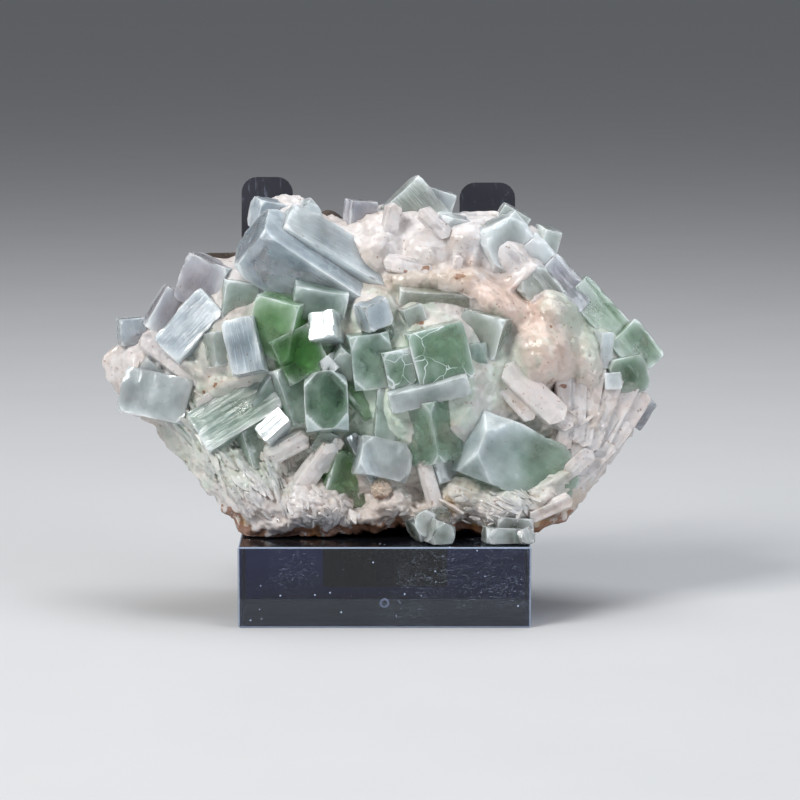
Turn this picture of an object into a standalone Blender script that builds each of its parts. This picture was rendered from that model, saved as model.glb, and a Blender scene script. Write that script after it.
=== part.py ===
"""Apophyllite cluster: a green apophyllite and pale stilbite specimen on basalt,
leaning back on a two-armed acrylic block stand.

World frame: metres, +Z up, +X to the viewer's right, the viewer on the -Y side.
The origin is the centre of the block's underside.

The specimen leans back against the arms, so its pieces are placed in a leaning
frame: x across, y into the depth (negative towards the viewer), z up the slope.
Sizes and places below are in millimetres, and MM turns them into metres.
"""

from collections import namedtuple
from itertools import product
from math import atan2, cos, pi, radians, sin, tan

import bmesh
import bpy
from mathutils import Matrix, Vector, noise

MM = 0.001
GAP = 0.3

# Stand
BLOCK_WIDE = 50.0
BLOCK_DEEP = 36.0
BLOCK_TALL = 14.0
BLOCK_BEVEL = 0.4
FORK_THICK = 2.5
FOOT_WIDE = 22.0
FOOT_BOTTOM = 2.4
ARM_CORNER = 2.8
LEFT_ARM = (-21.3, 9.2, 79.1)
RIGHT_ARM = (18.4, 10.0, 78.1)
SCREW_RADIUS = 1.5
SCREW_LENGTH = 12.0
SCREW_HEIGHT = 6.5
HEAD_RADIUS = 2.9
HEAD_TALL = 1.8

# Specimen: how far it leans, and the depth of its back and of the rock seam
LEAN = radians(8.0)
BACK = 14.0
SEAM = 4.0
MIDDLE = (-1.0, 44.0)

# The pyramid face of apophyllite stands 60.4 degrees from the c axis, over the prism's edges
PYRAMID_TILT = radians(60.4)

OUTLINE = [
    (-49.6, 46.2), (-47.0, 48.8), (-41.4, 52.0), (-38.8, 56.0), (-35.8, 58.2),
    (-34.6, 62.8), (-31.6, 64.4), (-27.4, 63.8), (-23.8, 66.8), (-22.2, 72.0),
    (-19.2, 74.6), (-14.0, 74.6), (-12.0, 71.6), (-6.8, 70.6), (-2.2, 72.6),
    (2.0, 73.6), (6.2, 75.2), (9.8, 73.6), (10.8, 71.8), (14.8, 71.6),
    (20.6, 72.0), (24.8, 70.0), (28.4, 66.8), (30.4, 62.8), (35.0, 59.2),
    (38.2, 56.0), (42.8, 52.4), (46.4, 48.4), (47.0, 45.2), (45.4, 41.6),
    (46.4, 39.0), (43.2, 33.4), (39.8, 29.2), (37.6, 25.2), (35.4, 22.2),
    (33.2, 20.6), (32.2, 18.2), (27.6, 16.4), (23.2, 15.2), (18.2, 15.4),
    (13.0, 16.4), (8.0, 15.6), (3.0, 16.8), (-6.6, 16.0), (-13.2, 15.6),
    (-17.2, 14.8), (-23.2, 14.6), (-25.4, 16.6), (-28.4, 20.4), (-32.0, 24.6),
    (-35.4, 28.8), (-38.6, 32.4), (-41.4, 35.4), (-46.4, 39.0), (-48.6, 42.6),
]

# Where the basalt shows past the crust: direction from the middle, spread and reach
ROCK_SHOWS = [(138, 9, 2.2), (118, 7, 1.2), (104, 6, 1.6), (91, 5, 1.2), (152, 5, 1.6)]

Lump = namedtuple("Lump", "x y z wide deep tall turn")
Blade = namedtuple("Blade", "x y z wide deep tall turn tip swing")
Crystal = namedtuple("Crystal", "x y z wide deep tall turn tip swing cut")

# Rounded stilbite: half sizes, and the turn in the picture plane in degrees
LUMPS = [
    Lump(29.0, -8.5, 47.5, 5.4, 6.0, 5.4, 0),
    Lump(20.5, -7.5, 54.5, 9.5, 6.0, 4.2, -28),
    Lump(21.0, -4.0, 65.0, 7.6, 5.5, 5.8, -15),
    Lump(7.5, -5.0, 63.0, 7.0, 5.5, 5.5, 10),
    Lump(13.5, -5.5, 65.0, 3.4, 4.0, 6.8, -4),
    Lump(-2.0, -5.5, 62.5, 5.5, 4.5, 5.0, 0),
    Lump(-17.0, -2.0, 70.0, 5.8, 4.0, 3.6, -12),
    Lump(-43.5, -1.5, 44.0, 5.0, 3.6, 4.5, 25),
    Lump(-40.0, -2.5, 48.0, 4.5, 3.5, 3.5, -35),
    Lump(-43.6, -1.0, 48.0, 3.2, 3.2, 3.0, 0),
    Lump(-29.5, -5.5, 42.5, 8.0, 6.0, 4.6, 25),
    Lump(-22.5, -11.0, 21.5, 7.5, 5.5, 5.5, -30),
    Lump(-12.5, -12.5, 20.5, 7.0, 5.0, 4.6, 0),
    Lump(-27.0, -7.0, 28.0, 6.0, 5.0, 7.0, 35),
    Lump(26.5, -7.5, 39.5, 8.8, 6.0, 3.2, -40),
    Lump(24.0, -8.0, 36.0, 8.5, 6.0, 3.2, -32),
    Lump(22.5, -11.5, 20.5, 8.5, 6.0, 4.4, 6),
    Lump(32.0, -7.0, 23.5, 4.8, 5.0, 3.6, 40),
    Lump(13.0, -12.0, 22.5, 5.0, 5.0, 5.0, 0),
    Lump(1.5, -12.0, 20.5, 4.2, 4.5, 3.4, 0),
    Lump(-0.6, -15.5, 23.6, 1.6, 1.6, 1.7, 0),
    Lump(35.5, -5.0, 34.0, 5.5, 4.5, 6.5, -35),
]

# Stilbite laths and columns, which taper to a blunt point at both ends
BLADES = [
    Blade(0.9, -8.0, 69.0, 2.6, 2.4, 8.4, -10, 8, 20),
    Blade(8.2, -9.0, 69.6, 2.8, 2.0, 7.0, 45, 6, 10),
    Blade(12.0, -9.5, 60.0, 1.8, 2.0, 7.4, -14, 6, 20),
    Blade(8.0, -14.0, 23.5, 2.6, 2.6, 12.0, 16, 6, 15),
    Blade(-12.0, -12.0, 27.6, 4.2, 4.0, 11.0, -36, 8, 20),
    Blade(-17.0, -11.0, 31.2, 4.6, 4.6, 9.5, -62, 8, 20),
    Blade(34.5, -6.0, 38.5, 3.4, 4.0, 15.0, -4, -8, 15),
    Blade(37.6, -5.0, 37.2, 3.0, 4.0, 15.0, -18, -8, 15),
    Blade(39.6, -4.0, 34.6, 3.0, 4.0, 14.0, -32, -6, 15),
    Blade(39.0, -4.0, 31.6, 3.0, 4.0, 12.0, -46, -4, 15),
    Blade(36.0, -5.0, 29.0, 3.0, 4.0, 11.0, -62, -4, 15),
    Blade(28.5, -11.0, 20.4, 3.2, 3.4, 10.0, -66, 0, 20),
    Blade(31.0, -8.0, 42.5, 3.2, 3.6, 10.0, 4, -6, 10),
    Blade(26.0, -9.0, 41.5, 2.6, 3.0, 12.0, 42, 0, 20),
    Blade(-30.5, -3.0, 31.0, 3.4, 4.0, 10.0, 38, 0, 20),
]

# Apophyllite blocks by the group that they grow in: full sizes, turn in the picture plane,
# tip of the top towards the viewer, swing about the c axis, and how much each corner loses
CRYSTALS = {
    "apophyllite_long_prism": [
        Crystal(-12.8, -9.0, 60.4, 9.8, 9.8, 26.0, 57, 17, 59, 1.6),
    ],
    "apophyllite_left_prisms": [
        Crystal(-33.0, -8.0, 51.2, 6.6, 7.0, 12.0, -45, 12, 12, 1.3),
        Crystal(-25.0, -7.0, 56.7, 6.4, 6.0, 9.4, -20, 10, 25, 1.0),
        Crystal(-28.9, -10.5, 47.4, 3.6, 5.0, 6.0, 8, 0, 30, 0.7),
    ],
    "apophyllite_lilac_block": [
        Crystal(-30.8, -2.0, 59.3, 7.6, 7.0, 8.4, -20, 10, -16, 1.1),
    ],
    "apophyllite_left_edge": [
        Crystal(-36.8, -0.5, 53.7, 6.0, 5.5, 8.0, -32, 4, 20, 0.9),
    ],
    "apophyllite_tip_crystal": [
        Crystal(-44.6, -1.2, 51.0, 4.6, 4.4, 4.8, 4, 6, 14, 0.8),
    ],
    "apophyllite_left_corner": [
        Crystal(-39.4, -5.5, 39.4, 12.2, 8.0, 8.0, -13, 14, 8, 1.8),
        Crystal(-41.6, -4.5, 43.8, 4.2, 5.0, 5.0, -40, 10, 20, 0.8),
    ],
    "apophyllite_lower_left": [
        Crystal(-25.4, -10.2, 37.0, 6.0, 6.4, 15.0, -63, 8, 38, 1.0),
        Crystal(-18.5, -13.6, 33.7, 3.2, 3.6, 6.0, -40, 10, 12, 0.5),
        Crystal(-23.1, -10.6, 30.9, 4.2, 4.6, 7.5, 18, 6, 30, 0.7),
        Crystal(-28.8, -8.6, 31.8, 4.0, 5.0, 7.0, 30, 0, 20, 0.7),
    ],
    "apophyllite_centre_cluster": [
        Crystal(-23.8, -14.6, 48.0, 5.6, 5.8, 9.8, 11, -10, 26, 1.3),
        Crystal(-18.4, -12.6, 51.7, 8.0, 8.0, 10.4, -14, 12, -24, 1.4),
        Crystal(-11.5, -11.8, 56.5, 9.4, 7.0, 5.8, -14, 24, 12, 1.0),
        Crystal(-16.0, -12.2, 47.2, 8.0, 7.0, 8.6, 30, 0, 32, 1.2),
        Crystal(-10.1, -14.8, 50.6, 4.7, 5.2, 6.9, 2, -12, -6, 0.4),
        Crystal(-8.2, -13.2, 43.7, 5.8, 6.0, 9.0, -38, 10, 20, 1.6),
        Crystal(-1.9, -16.0, 53.7, 4.9, 4.8, 4.8, 16, 16, 24, 1.1),
        Crystal(-2.4, -14.8, 45.8, 7.2, 6.4, 9.6, 8, 8, 6, 2.0),
        Crystal(4.8, -13.0, 53.3, 3.8, 3.4, 3.8, 18, 12, 16, 0.6),
        Crystal(9.4, -14.8, 46.8, 9.9, 8.2, 10.0, 14, 16, 4, 1.0),
        Crystal(2.2, -16.6, 44.6, 5.2, 5.2, 6.6, 11, 12, 8, 0.7),
        Crystal(7.5, -16.4, 40.1, 14.0, 6.0, 3.6, 13, 30, 4, 0.5),
        Crystal(7.9, -14.6, 34.0, 8.2, 8.0, 11.6, 10, 8, -43, 2.2),
        Crystal(-0.1, -14.4, 36.3, 4.0, 4.6, 9.6, -3, 4, 14, 0.9),
        Crystal(-10.0, -14.6, 38.4, 7.5, 10.2, 8.0, -3, 82, 6, 1.6),
        Crystal(-16.1, -13.4, 39.8, 4.8, 4.8, 10.4, 20, 8, 25, 1.3),
        Crystal(-20.2, -11.8, 40.6, 4.0, 4.6, 7.0, -35, 8, 25, 0.8),
        Crystal(-0.6, -14.4, 28.6, 9.2, 6.6, 6.8, -10, -8, 16, 1.5),
        Crystal(-4.3, -12.6, 28.5, 2.2, 5.0, 9.4, 28, 0, 20, 0.5),
        Crystal(-6.7, -10.4, 25.4, 9.0, 7.0, 10.0, -18, 6, 24, 1.6),
        Crystal(-10.6, -13.6, 31.8, 3.6, 3.8, 4.6, -30, 8, 15, 0.5),
        Crystal(9.5, -13.6, 26.7, 3.8, 3.8, 4.4, 20, 0, 30, 0.6),
        Crystal(15.4, -13.0, 44.4, 3.6, 4.6, 9.0, 4, 6, 20, 0.6),
        Crystal(17.2, -10.8, 50.3, 8.0, 6.6, 8.0, -14, 12, -18, 1.5),
        Crystal(-4.1, -9.8, 39.2, 9.0, 7.0, 9.0, -35, 6, 20, 1.2),
        Crystal(-1.6, -12.6, 50.2, 5.0, 6.0, 6.6, 20, 6, 20, 0.9),
    ],
    "apophyllite_ledge": [
        Crystal(10.0, -7.6, 55.8, 16.0, 8.0, 7.0, -6, 26, 6, 1.2),
    ],
    "apophyllite_great_block": [
        Crystal(21.9, -9.6, 28.5, 11.2, 11.2, 20.0, 67, 28, 8, 2.6),
    ],
    "apophyllite_right_prism": [
        Crystal(30.6, -4.2, 58.5, 5.6, 5.8, 10.4, 42, 8, 34, 0.8),
    ],
    "apophyllite_right_edge": [
        Crystal(37.4, -2.2, 52.8, 6.2, 6.4, 15.0, 42, 6, 30, 1.0),
        Crystal(43.0, -2.4, 47.3, 7.0, 7.0, 8.2, 40, 6, 20, 1.0),
        Crystal(41.8, -4.4, 43.6, 7.0, 6.0, 6.4, 10, 10, 16, 1.6),
        Crystal(37.8, -7.2, 47.6, 2.6, 3.4, 6.4, -3, 4, 30, 0.3),
        Crystal(39.5, -7.8, 42.4, 3.1, 3.2, 3.1, 3, 8, 8, 0.4),
    ],
    "apophyllite_right_chip": [
        Crystal(44.3, -1.4, 37.3, 4.0, 4.4, 5.6, -34, 6, 20, 0.6),
    ],
    "apophyllite_top_blade": [
        Crystal(5.6, -2.8, 71.9, 8.2, 5.0, 9.6, 41, 10, 10, 0.8),
        Crystal(9.3, -2.2, 73.7, 5.4, 3.2, 4.2, -18, 8, 10, 0.6),
    ],
    "apophyllite_top_prism": [
        Crystal(-4.5, -2.4, 70.3, 4.8, 4.6, 7.4, -6, 6, 20, 0.5),
    ],
    "apophyllite_top_ledge": [
        Crystal(22.4, -0.6, 70.9, 5.4, 4.0, 3.4, -32, 8, 10, 0.5),
    ],
    "apophyllite_top_right": [
        Crystal(28.2, -1.0, 66.5, 3.2, 5.6, 5.4, -16, 8, 20, 0.5),
    ],
    "apophyllite_bottom_left": [
        Crystal(6.6, -16.8, 17.3, 4.4, 5.0, 4.6, 30, 0, 20, 0.6),
        Crystal(9.3, -18.8, 16.0, 4.0, 4.0, 4.4, -24, 0, 25, 0.7),
    ],
    "apophyllite_bottom_right": [
        Crystal(21.1, -17.4, 15.3, 8.4, 5.0, 3.6, -3, 0, 10, 0.6),
        Crystal(23.8, -18.4, 15.3, 3.2, 3.4, 3.4, 20, 0, 30, 0.5),
    ],
}


def clear_scene():
    for old in list(bpy.data.objects):
        bpy.data.objects.remove(old)


def make_material(name, colour, roughness, transmission=0.0):
    material = bpy.data.materials.new(name)
    material.use_nodes = True
    shader = material.node_tree.nodes["Principled BSDF"]
    shader.inputs["Base Color"].default_value = (*colour, 1.0)
    shader.inputs["Roughness"].default_value = roughness
    shader.inputs["Transmission Weight"].default_value = transmission
    return material


def leaning_frame():
    """The frame in which the arms' front plane meets the block's upper back edge,
    with its zero height level with the block's lower front edge seen square on."""
    edge_back = BLOCK_DEEP / 2
    front = BACK + GAP
    rise = tan(LEAN)
    reach = edge_back * cos(LEAN) - BLOCK_TALL * sin(LEAN) - front
    drop = edge_back * rise
    back = (reach - drop * sin(LEAN)) / (cos(LEAN) + rise * sin(LEAN))
    down = -drop - back * rise
    return Matrix.Translation((0, back * MM, down * MM)) @ Matrix.Rotation(-LEAN, 4, "X")


def pose(item):
    """A piece's place and turn in the leaning frame."""
    turn = Matrix.Rotation(radians(item.turn), 4, (0, -1, 0))
    tip = Matrix.Rotation(radians(item.tip), 4, "X")
    swing = Matrix.Rotation(radians(item.swing), 4, "Z")
    return Matrix.Translation(Vector((item.x, item.y, item.z)) * MM) @ turn @ tip @ swing


def link(name, mesh, collection, matrix=None):
    made = bpy.data.objects.new(name, mesh)
    collection.objects.link(made)
    if matrix is not None:
        made.matrix_world = matrix
    return made


def mesh_of(bm, name):
    mesh = bpy.data.meshes.new(name)
    bmesh.ops.recalc_face_normals(bm, faces=bm.faces)
    bm.to_mesh(mesh)
    bm.free()
    return mesh


def slice_off(bm, point, normal):
    """Cuts away what lies past a plane, and closes the cut."""
    geometry = bm.verts[:] + bm.edges[:] + bm.faces[:]
    cut = bmesh.ops.bisect_plane(
        bm, geom=geometry, plane_co=point, plane_no=normal, clear_outer=True, dist=1e-8
    )
    rim = [part for part in cut["geom_cut"] if isinstance(part, bmesh.types.BMEdge)]
    if rim:
        bmesh.ops.holes_fill(bm, edges=rim, sides=0)


def block_with_cut_corners(wide, deep, tall, cut):
    """A square prism whose eight corners are cut by the pyramid faces."""
    bm = bmesh.new()
    bmesh.ops.create_cube(bm, size=1)
    half = Vector((wide, deep, tall)) * MM / 2
    bmesh.ops.scale(bm, vec=half * 2, verts=bm.verts)
    side = sin(PYRAMID_TILT) / 2**0.5
    for signs in product((-1, 1), repeat=3):
        normal = Vector((signs[0] * side, signs[1] * side, signs[2] * cos(PYRAMID_TILT)))
        corner = Vector(sign * size for sign, size in zip(signs, half))
        slice_off(bm, corner - normal * cut * MM, normal)
    return bm


def crystal(item, collection, swell=0.0):
    bm = block_with_cut_corners(
        item.wide + 2 * swell, item.deep + 2 * swell, item.tall + 2 * swell,
        item.cut + swell * 0.7,
    )
    return link("crystal", mesh_of(bm, "crystal"), collection, pose(item))


def blade(item, collection):
    """A lath: a bar whose ends are pinched to blunt points."""
    bm = bmesh.new()
    bmesh.ops.create_cube(bm, size=1)
    bmesh.ops.subdivide_edges(
        bm, edges=[e for e in bm.edges if abs((e.verts[0].co - e.verts[1].co).z) > 0.5], cuts=2
    )
    for vertex in bm.verts:
        on_end = abs(vertex.co.z) > 0.45
        vertex.co.z *= 1.0 if on_end else 1.9
        if on_end:
            vertex.co.x *= 0.45
            vertex.co.y *= 0.6
    bmesh.ops.scale(bm, vec=Vector((item.wide, item.deep, item.tall)) * MM, verts=bm.verts)
    return link("blade", mesh_of(bm, "blade"), collection, pose(item))


def lump(item, collection):
    """A rounded mass: a ball pressed to its three half sizes, with faint facets."""
    bm = bmesh.new()
    bmesh.ops.create_icosphere(bm, subdivisions=2, radius=1)
    size = Vector((item.wide, item.deep, item.tall))
    for vertex in bm.verts:
        spot = vertex.co * size
        ripple = 1 + 0.16 * noise.noise(spot * 0.45 + Vector((item.x, 0, item.z)))
        vertex.co = spot * ripple * MM
    turn = Matrix.Rotation(radians(item.turn), 4, (0, -1, 0))
    place = Matrix.Translation(Vector((item.x, item.y, item.z)) * MM) @ turn
    return link("lump", mesh_of(bm, "lump"), collection, place)


def outline_reach(angle):
    """Distance from the middle to the outline in one direction, by the edge that it crosses."""
    ahead = Vector((cos(angle), sin(angle)))
    points = [Vector((x - MIDDLE[0], z - MIDDLE[1])) for x, z in OUTLINE]
    for start, end in zip(points, points[1:] + points[:1]):
        along = end - start
        turned = ahead.x * along.y - ahead.y * along.x
        if abs(turned) < 1e-9:
            continue
        reach = (start.x * along.y - start.y * along.x) / turned
        share = (start.x * ahead.y - start.y * ahead.x) / turned
        if reach > 0 and -1e-9 <= share <= 1 + 1e-9:
            return reach
    return 0.0


def pillow(shape, segments=None):
    """A ball whose points are sent to shape(angle, share of the way to the rim, toward)."""
    bm = bmesh.new()
    if segments:
        bmesh.ops.create_uvsphere(bm, u_segments=segments, v_segments=segments // 3, radius=1)
    else:
        bmesh.ops.create_icosphere(bm, subdivisions=4, radius=1)
    for vertex in bm.verts:
        share = min(1.0, Vector((vertex.co.x, vertex.co.y)).length)
        angle = atan2(vertex.co.y, vertex.co.x)
        vertex.co = Vector(shape(angle, share, vertex.co.z)) * MM
    return bm


def crust_shape(angle, share, toward):
    """The pale crust: thin at its sides and top, thick along its foot."""
    reach = outline_reach(angle)
    ragged = 1 + 0.012 * noise.noise(Vector((angle * 14, 3.1, 0)))
    x = MIDDLE[0] + reach * ragged * share * cos(angle)
    z = MIDDLE[1] + reach * ragged * share * sin(angle)
    foot = min(1.0, max(0.0, -1.35 * sin(angle) - 0.12)) ** 1.5
    rim = -1.0 - 12.0 * foot
    if toward >= 0:
        spot = Vector((x, 0, z))
        rough = 1.3 * noise.noise(spot * 0.22) + 0.7 * noise.noise(spot * 0.55)
        inner = -10.5 + rough
        return x, inner + (rim - inner) * share**3.2, z
    return x, rim + (BACK - rim) * (1 - share**6), z


def basalt_shape(angle, share, toward):
    """The dark rock: a rough slab with a broken back, which shows past the crust in places."""
    shown = sum(
        reach * max(0.0, 1 - (((angle * 180 / pi - way + 180) % 360 - 180) / spread) ** 2)
        for way, spread, reach in ROCK_SHOWS
    )
    reach = outline_reach(angle) - 1.6 + shown
    ragged = 1 + 0.02 * noise.noise(Vector((angle * 11, 7.7, 0)))
    x = MIDDLE[0] + reach * ragged * share * cos(angle)
    z = MIDDLE[1] + reach * ragged * share * sin(angle)
    if toward >= 0:
        return x, -4.0 * (1 - share), z
    spot = Vector((x, 5.0, z))
    hollow = abs(noise.noise(spot * 0.11)) * 4.5 + abs(noise.noise(spot * 0.33)) * 1.8
    return x, 5.0 + (BACK - 5.0 - hollow) * (1 - share**5) ** 0.6, z


def bake(made):
    """Takes the object's modifiers into its mesh, and keeps only its largest piece."""
    graph = bpy.context.evaluated_depsgraph_get()
    mesh = bpy.data.meshes.new_from_object(made.evaluated_get(graph))
    made.modifiers.clear()
    bm = bmesh.new()
    bm.from_mesh(mesh)
    bmesh.ops.remove_doubles(bm, verts=bm.verts, dist=5e-7)
    bmesh.ops.dissolve_degenerate(bm, edges=bm.edges, dist=5e-7)
    bmesh.ops.dissolve_limit(bm, angle_limit=radians(2), verts=bm.verts, edges=bm.edges)
    bmesh.ops.triangulate(bm, faces=bm.faces)
    pieces = []
    waiting = set(bm.faces)
    while waiting:
        piece = {waiting.pop()}
        front = list(piece)
        while front:
            face = front.pop()
            near = {other for edge in face.edges for other in edge.link_faces} & waiting
            waiting -= near
            piece |= near
            front.extend(near)
        pieces.append(piece)
    largest = max(pieces, key=len)
    drop = [face for face in bm.faces if face not in largest]
    bmesh.ops.delete(bm, geom=drop, context="FACES")
    bm.to_mesh(mesh)
    bm.free()
    made.data = mesh
    return made


def combine(made, collection, operation):
    boolean = made.modifiers.new(operation.lower(), "BOOLEAN")
    boolean.operation = operation
    boolean.operand_type = "COLLECTION"
    boolean.collection = collection
    bpy.context.view_layer.update()
    return bake(made)


def new_collection(name, hidden=False):
    made = bpy.data.collections.new(name)
    bpy.context.scene.collection.children.link(made)
    made.hide_render = hidden
    return made


def hide(collection):
    for helper in collection.objects:
        helper.hide_render = True
        helper.display_type = "WIRE"


def resting_cut(frame):
    """The stand's top, GAP above the block, as a plane in the leaning frame."""
    into = frame.inverted()
    point = into @ Vector((0, 0, (BLOCK_TALL + GAP) * MM))
    return point, into.to_3x3() @ Vector((0, 0, -1))


def grow_group(name, items, specimen, swollen_before, frame):
    """One grown-together group of apophyllite, clear of the groups made before it."""
    tools = new_collection(name + "_members", hidden=True)
    first = crystal(items[0], specimen)
    first.name = name
    for item in items[1:]:
        crystal(item, tools)
    hide(tools)
    if items[1:]:
        combine(first, tools, "UNION")
    if swollen_before.objects:
        combine(first, swollen_before, "DIFFERENCE")
    bm = bmesh.new()
    bm.from_mesh(first.data)
    bm.transform(first.matrix_world)
    slice_off(bm, *resting_cut(frame))
    first.data = mesh_of(bm, name)
    first.matrix_world = Matrix.Identity(4)
    for item in items:
        crystal(item, swollen_before, GAP)
    hide(swollen_before)
    return first


def make_apophyllite(specimen, frame, material):
    swollen = new_collection("pockets", hidden=True)
    for name, items in CRYSTALS.items():
        group = grow_group(name, items, specimen, swollen, frame)
        group.data.materials.append(material)
    return swollen


def make_crust(specimen, frame, pockets, material):
    masses = new_collection("stilbite_masses", hidden=True)
    for item in LUMPS:
        lump(item, masses)
    for item in BLADES:
        blade(item, masses)
    hide(masses)
    bm = pillow(crust_shape, segments=54)
    crust = link("stilbite_crust", mesh_of(turned_to_face(bm), "crust"), specimen)
    combine(crust, masses, "UNION")
    bm = bmesh.new()
    bm.from_mesh(crust.data)
    slice_off(bm, Vector((0, SEAM * MM, 0)), Vector((0, 1, 0)))
    slice_off(bm, *resting_cut(frame))
    crust.data = mesh_of(bm, "crust")
    combine(crust, pockets, "DIFFERENCE")
    crust.data.materials.append(material)


def turned_to_face(bm):
    bmesh.ops.recalc_face_normals(bm, faces=bm.faces)
    return bm


def make_basalt(specimen, frame, pockets, material):
    bm = pillow(basalt_shape)
    slice_off(bm, Vector((0, (SEAM + GAP) * MM, 0)), Vector((0, -1, 0)))
    slice_off(bm, *resting_cut(frame))
    basalt = link("basalt_matrix", mesh_of(bm, "basalt"), specimen)
    combine(basalt, pockets, "DIFFERENCE")
    basalt.data.materials.append(material)


def rod(radius, length, depth, collection, sides=24):
    """A rod along the depth axis at the screw's height, its middle at this depth."""
    bm = bmesh.new()
    bmesh.ops.create_cone(
        bm, cap_ends=True, segments=sides, radius1=radius * MM, radius2=radius * MM,
        depth=length * MM,
    )
    place = Matrix.Translation(Vector((0, depth, SCREW_HEIGHT)) * MM)
    return link("rod", mesh_of(bm, "rod"), collection, place @ Matrix.Rotation(pi / 2, 4, "X"))


def rounded_end(x, half, top, corner):
    """The upper end of a flat bar, from its right side round to its left."""
    drawn = []
    for side, start in ((1, 0), (-1, 90)):
        for step in range(7):
            angle = radians(start + step * 15)
            drawn.append((
                x + side * (half - corner) + corner * cos(angle),
                top - corner + corner * sin(angle),
            ))
    return drawn


def plate(name, drawn, place, collection):
    """A flat plate of the fork's thickness, cut to the drawn outline."""
    bm = bmesh.new()
    rim = [bm.verts.new((x * MM, -FORK_THICK / 2 * MM, z * MM)) for x, z in drawn]
    face = bm.faces.new(rim)
    raised = bmesh.ops.extrude_face_region(bm, geom=[face])
    moved = [part for part in raised["geom"] if isinstance(part, bmesh.types.BMVert)]
    bmesh.ops.translate(bm, vec=Vector((0, FORK_THICK * MM, 0)), verts=moved)
    bmesh.ops.triangulate(bm, faces=[f for f in bm.faces if len(f.verts) > 4])
    return link(name, mesh_of(bm, name), collection, place)


def cut_with(made, helper, operation):
    helper.hide_render = True
    boolean = made.modifiers.new(helper.name, "BOOLEAN")
    boolean.operation = operation
    boolean.object = helper


def make_fork(stand, frame, tools, material):
    """One bent plate: a foot screwed to the block's back, and above it two leaning arms."""
    behind_block = BLOCK_DEEP / 2 + GAP + FORK_THICK / 2
    foot_top = BLOCK_TALL + 1.4
    half = FOOT_WIDE / 2
    foot = [(-half, FOOT_BOTTOM), (half, FOOT_BOTTOM), (half, foot_top), (-half, foot_top)]
    upright = Matrix.Translation(Vector((0, behind_block, 0)) * MM)
    fork = plate("stand_fork", foot, upright, stand)
    edge = Vector((0, BLOCK_DEEP / 2, BLOCK_TALL + GAP)) * MM
    bend = (frame.inverted() @ edge).z / MM
    left, left_wide, left_top = LEFT_ARM
    right, right_wide, right_top = RIGHT_ARM
    left_half, right_half = left_wide / 2, right_wide / 2
    drawn = [(-half, bend), (half, bend), (half, bend + 3), (right + right_half, bend + 5)]
    drawn += rounded_end(right, right_half, right_top, ARM_CORNER)
    drawn += [(right - right_half, bend + 15), (right - right_half - 3, bend + 12)]
    drawn += [(left + left_half + 3, bend + 12), (left + left_half, bend + 15)]
    drawn += rounded_end(left, left_half, left_top, ARM_CORNER)
    drawn += [(left - left_half, bend + 5), (-half, bend + 3)]
    leaning = frame @ Matrix.Translation(Vector((0, BACK + GAP + FORK_THICK / 2, 0)) * MM)
    cut_with(fork, plate("arms", drawn, leaning, tools), "UNION")
    hole = rod(SCREW_RADIUS + GAP, 4 * FORK_THICK, behind_block, tools)
    cut_with(fork, hole, "DIFFERENCE")
    bpy.context.view_layer.update()
    bake(fork)
    fork.data.materials.append(material)


def make_screw(stand, tools, material):
    """A pan-head screw: its shank in the block and its head behind the fork's foot."""
    head_front = BLOCK_DEEP / 2 + GAP + FORK_THICK + GAP
    screw = rod(HEAD_RADIUS, HEAD_TALL, head_front + HEAD_TALL / 2, stand)
    screw.name = "stand_screw"
    shank = rod(SCREW_RADIUS, SCREW_LENGTH, head_front - SCREW_LENGTH / 2 + 0.4, tools)
    cut_with(screw, shank, "UNION")
    socket = rod(HEAD_RADIUS * 0.45, HEAD_TALL, head_front + HEAD_TALL * 1.1, tools, sides=6)
    cut_with(screw, socket, "DIFFERENCE")
    bpy.context.view_layer.update()
    bake(screw)
    screw.data.materials.append(material)


def make_block(stand, tools, material):
    """The clear block, with a blind hole in its back for the screw."""
    bm = bmesh.new()
    bmesh.ops.create_cube(bm, size=1)
    size = Vector((BLOCK_WIDE, BLOCK_DEEP, BLOCK_TALL)) * MM
    bmesh.ops.scale(bm, vec=size, verts=bm.verts)
    bmesh.ops.translate(bm, vec=Vector((0, 0, size.z / 2)), verts=bm.verts)
    block = link("stand_block", mesh_of(bm, "stand_block"), stand)
    edges = block.modifiers.new("polished_edges", "BEVEL")
    edges.width = BLOCK_BEVEL * MM
    edges.segments = 2
    hole = rod(SCREW_RADIUS + GAP, 2 * SCREW_LENGTH, BLOCK_DEEP / 2, tools)
    cut_with(block, hole, "DIFFERENCE")
    block.data.materials.append(material)


def main():
    clear_scene()
    frame = leaning_frame()
    specimen = new_collection("apophyllite_cluster")
    stand = new_collection("stand")
    tools = new_collection("stand_cutters", hidden=True)
    pale = make_material("stilbite", (0.86, 0.77, 0.71), 0.55)
    green = make_material("apophyllite", (0.62, 0.80, 0.70), 0.15, transmission=0.6)
    dark = make_material("basalt", (0.11, 0.09, 0.08), 0.85)
    acrylic = make_material("smoke_acrylic", (0.10, 0.12, 0.16), 0.05, transmission=0.8)
    black = make_material("black_coating", (0.03, 0.03, 0.04), 0.4)
    steel = make_material("black_steel", (0.06, 0.06, 0.07), 0.35)

    pockets = make_apophyllite(specimen, frame, green)
    make_crust(specimen, frame, pockets, pale)
    make_basalt(specimen, frame, pockets, dark)
    for grown in specimen.objects:
        grown.matrix_world = frame

    make_block(stand, tools, acrylic)
    make_fork(stand, frame, tools, black)
    make_screw(stand, tools, steel)


main()
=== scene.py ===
# %% [markdown]
# # A green apophyllite cluster on its block stand
# The specimen is one grown-together mass: dark basalt at the back, a peach-white crust of
# stilbite over it, and blocky apophyllite crystals standing out of the crust. It stands on a
# smoky block and leans back on a black fork. The solids already give every form its place, so
# this script loads them and dresses each one: crystals with rounded edges and growth lines, a
# crust with its lumps, sheaves and sugary faces, and finishes for all of them.

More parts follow.
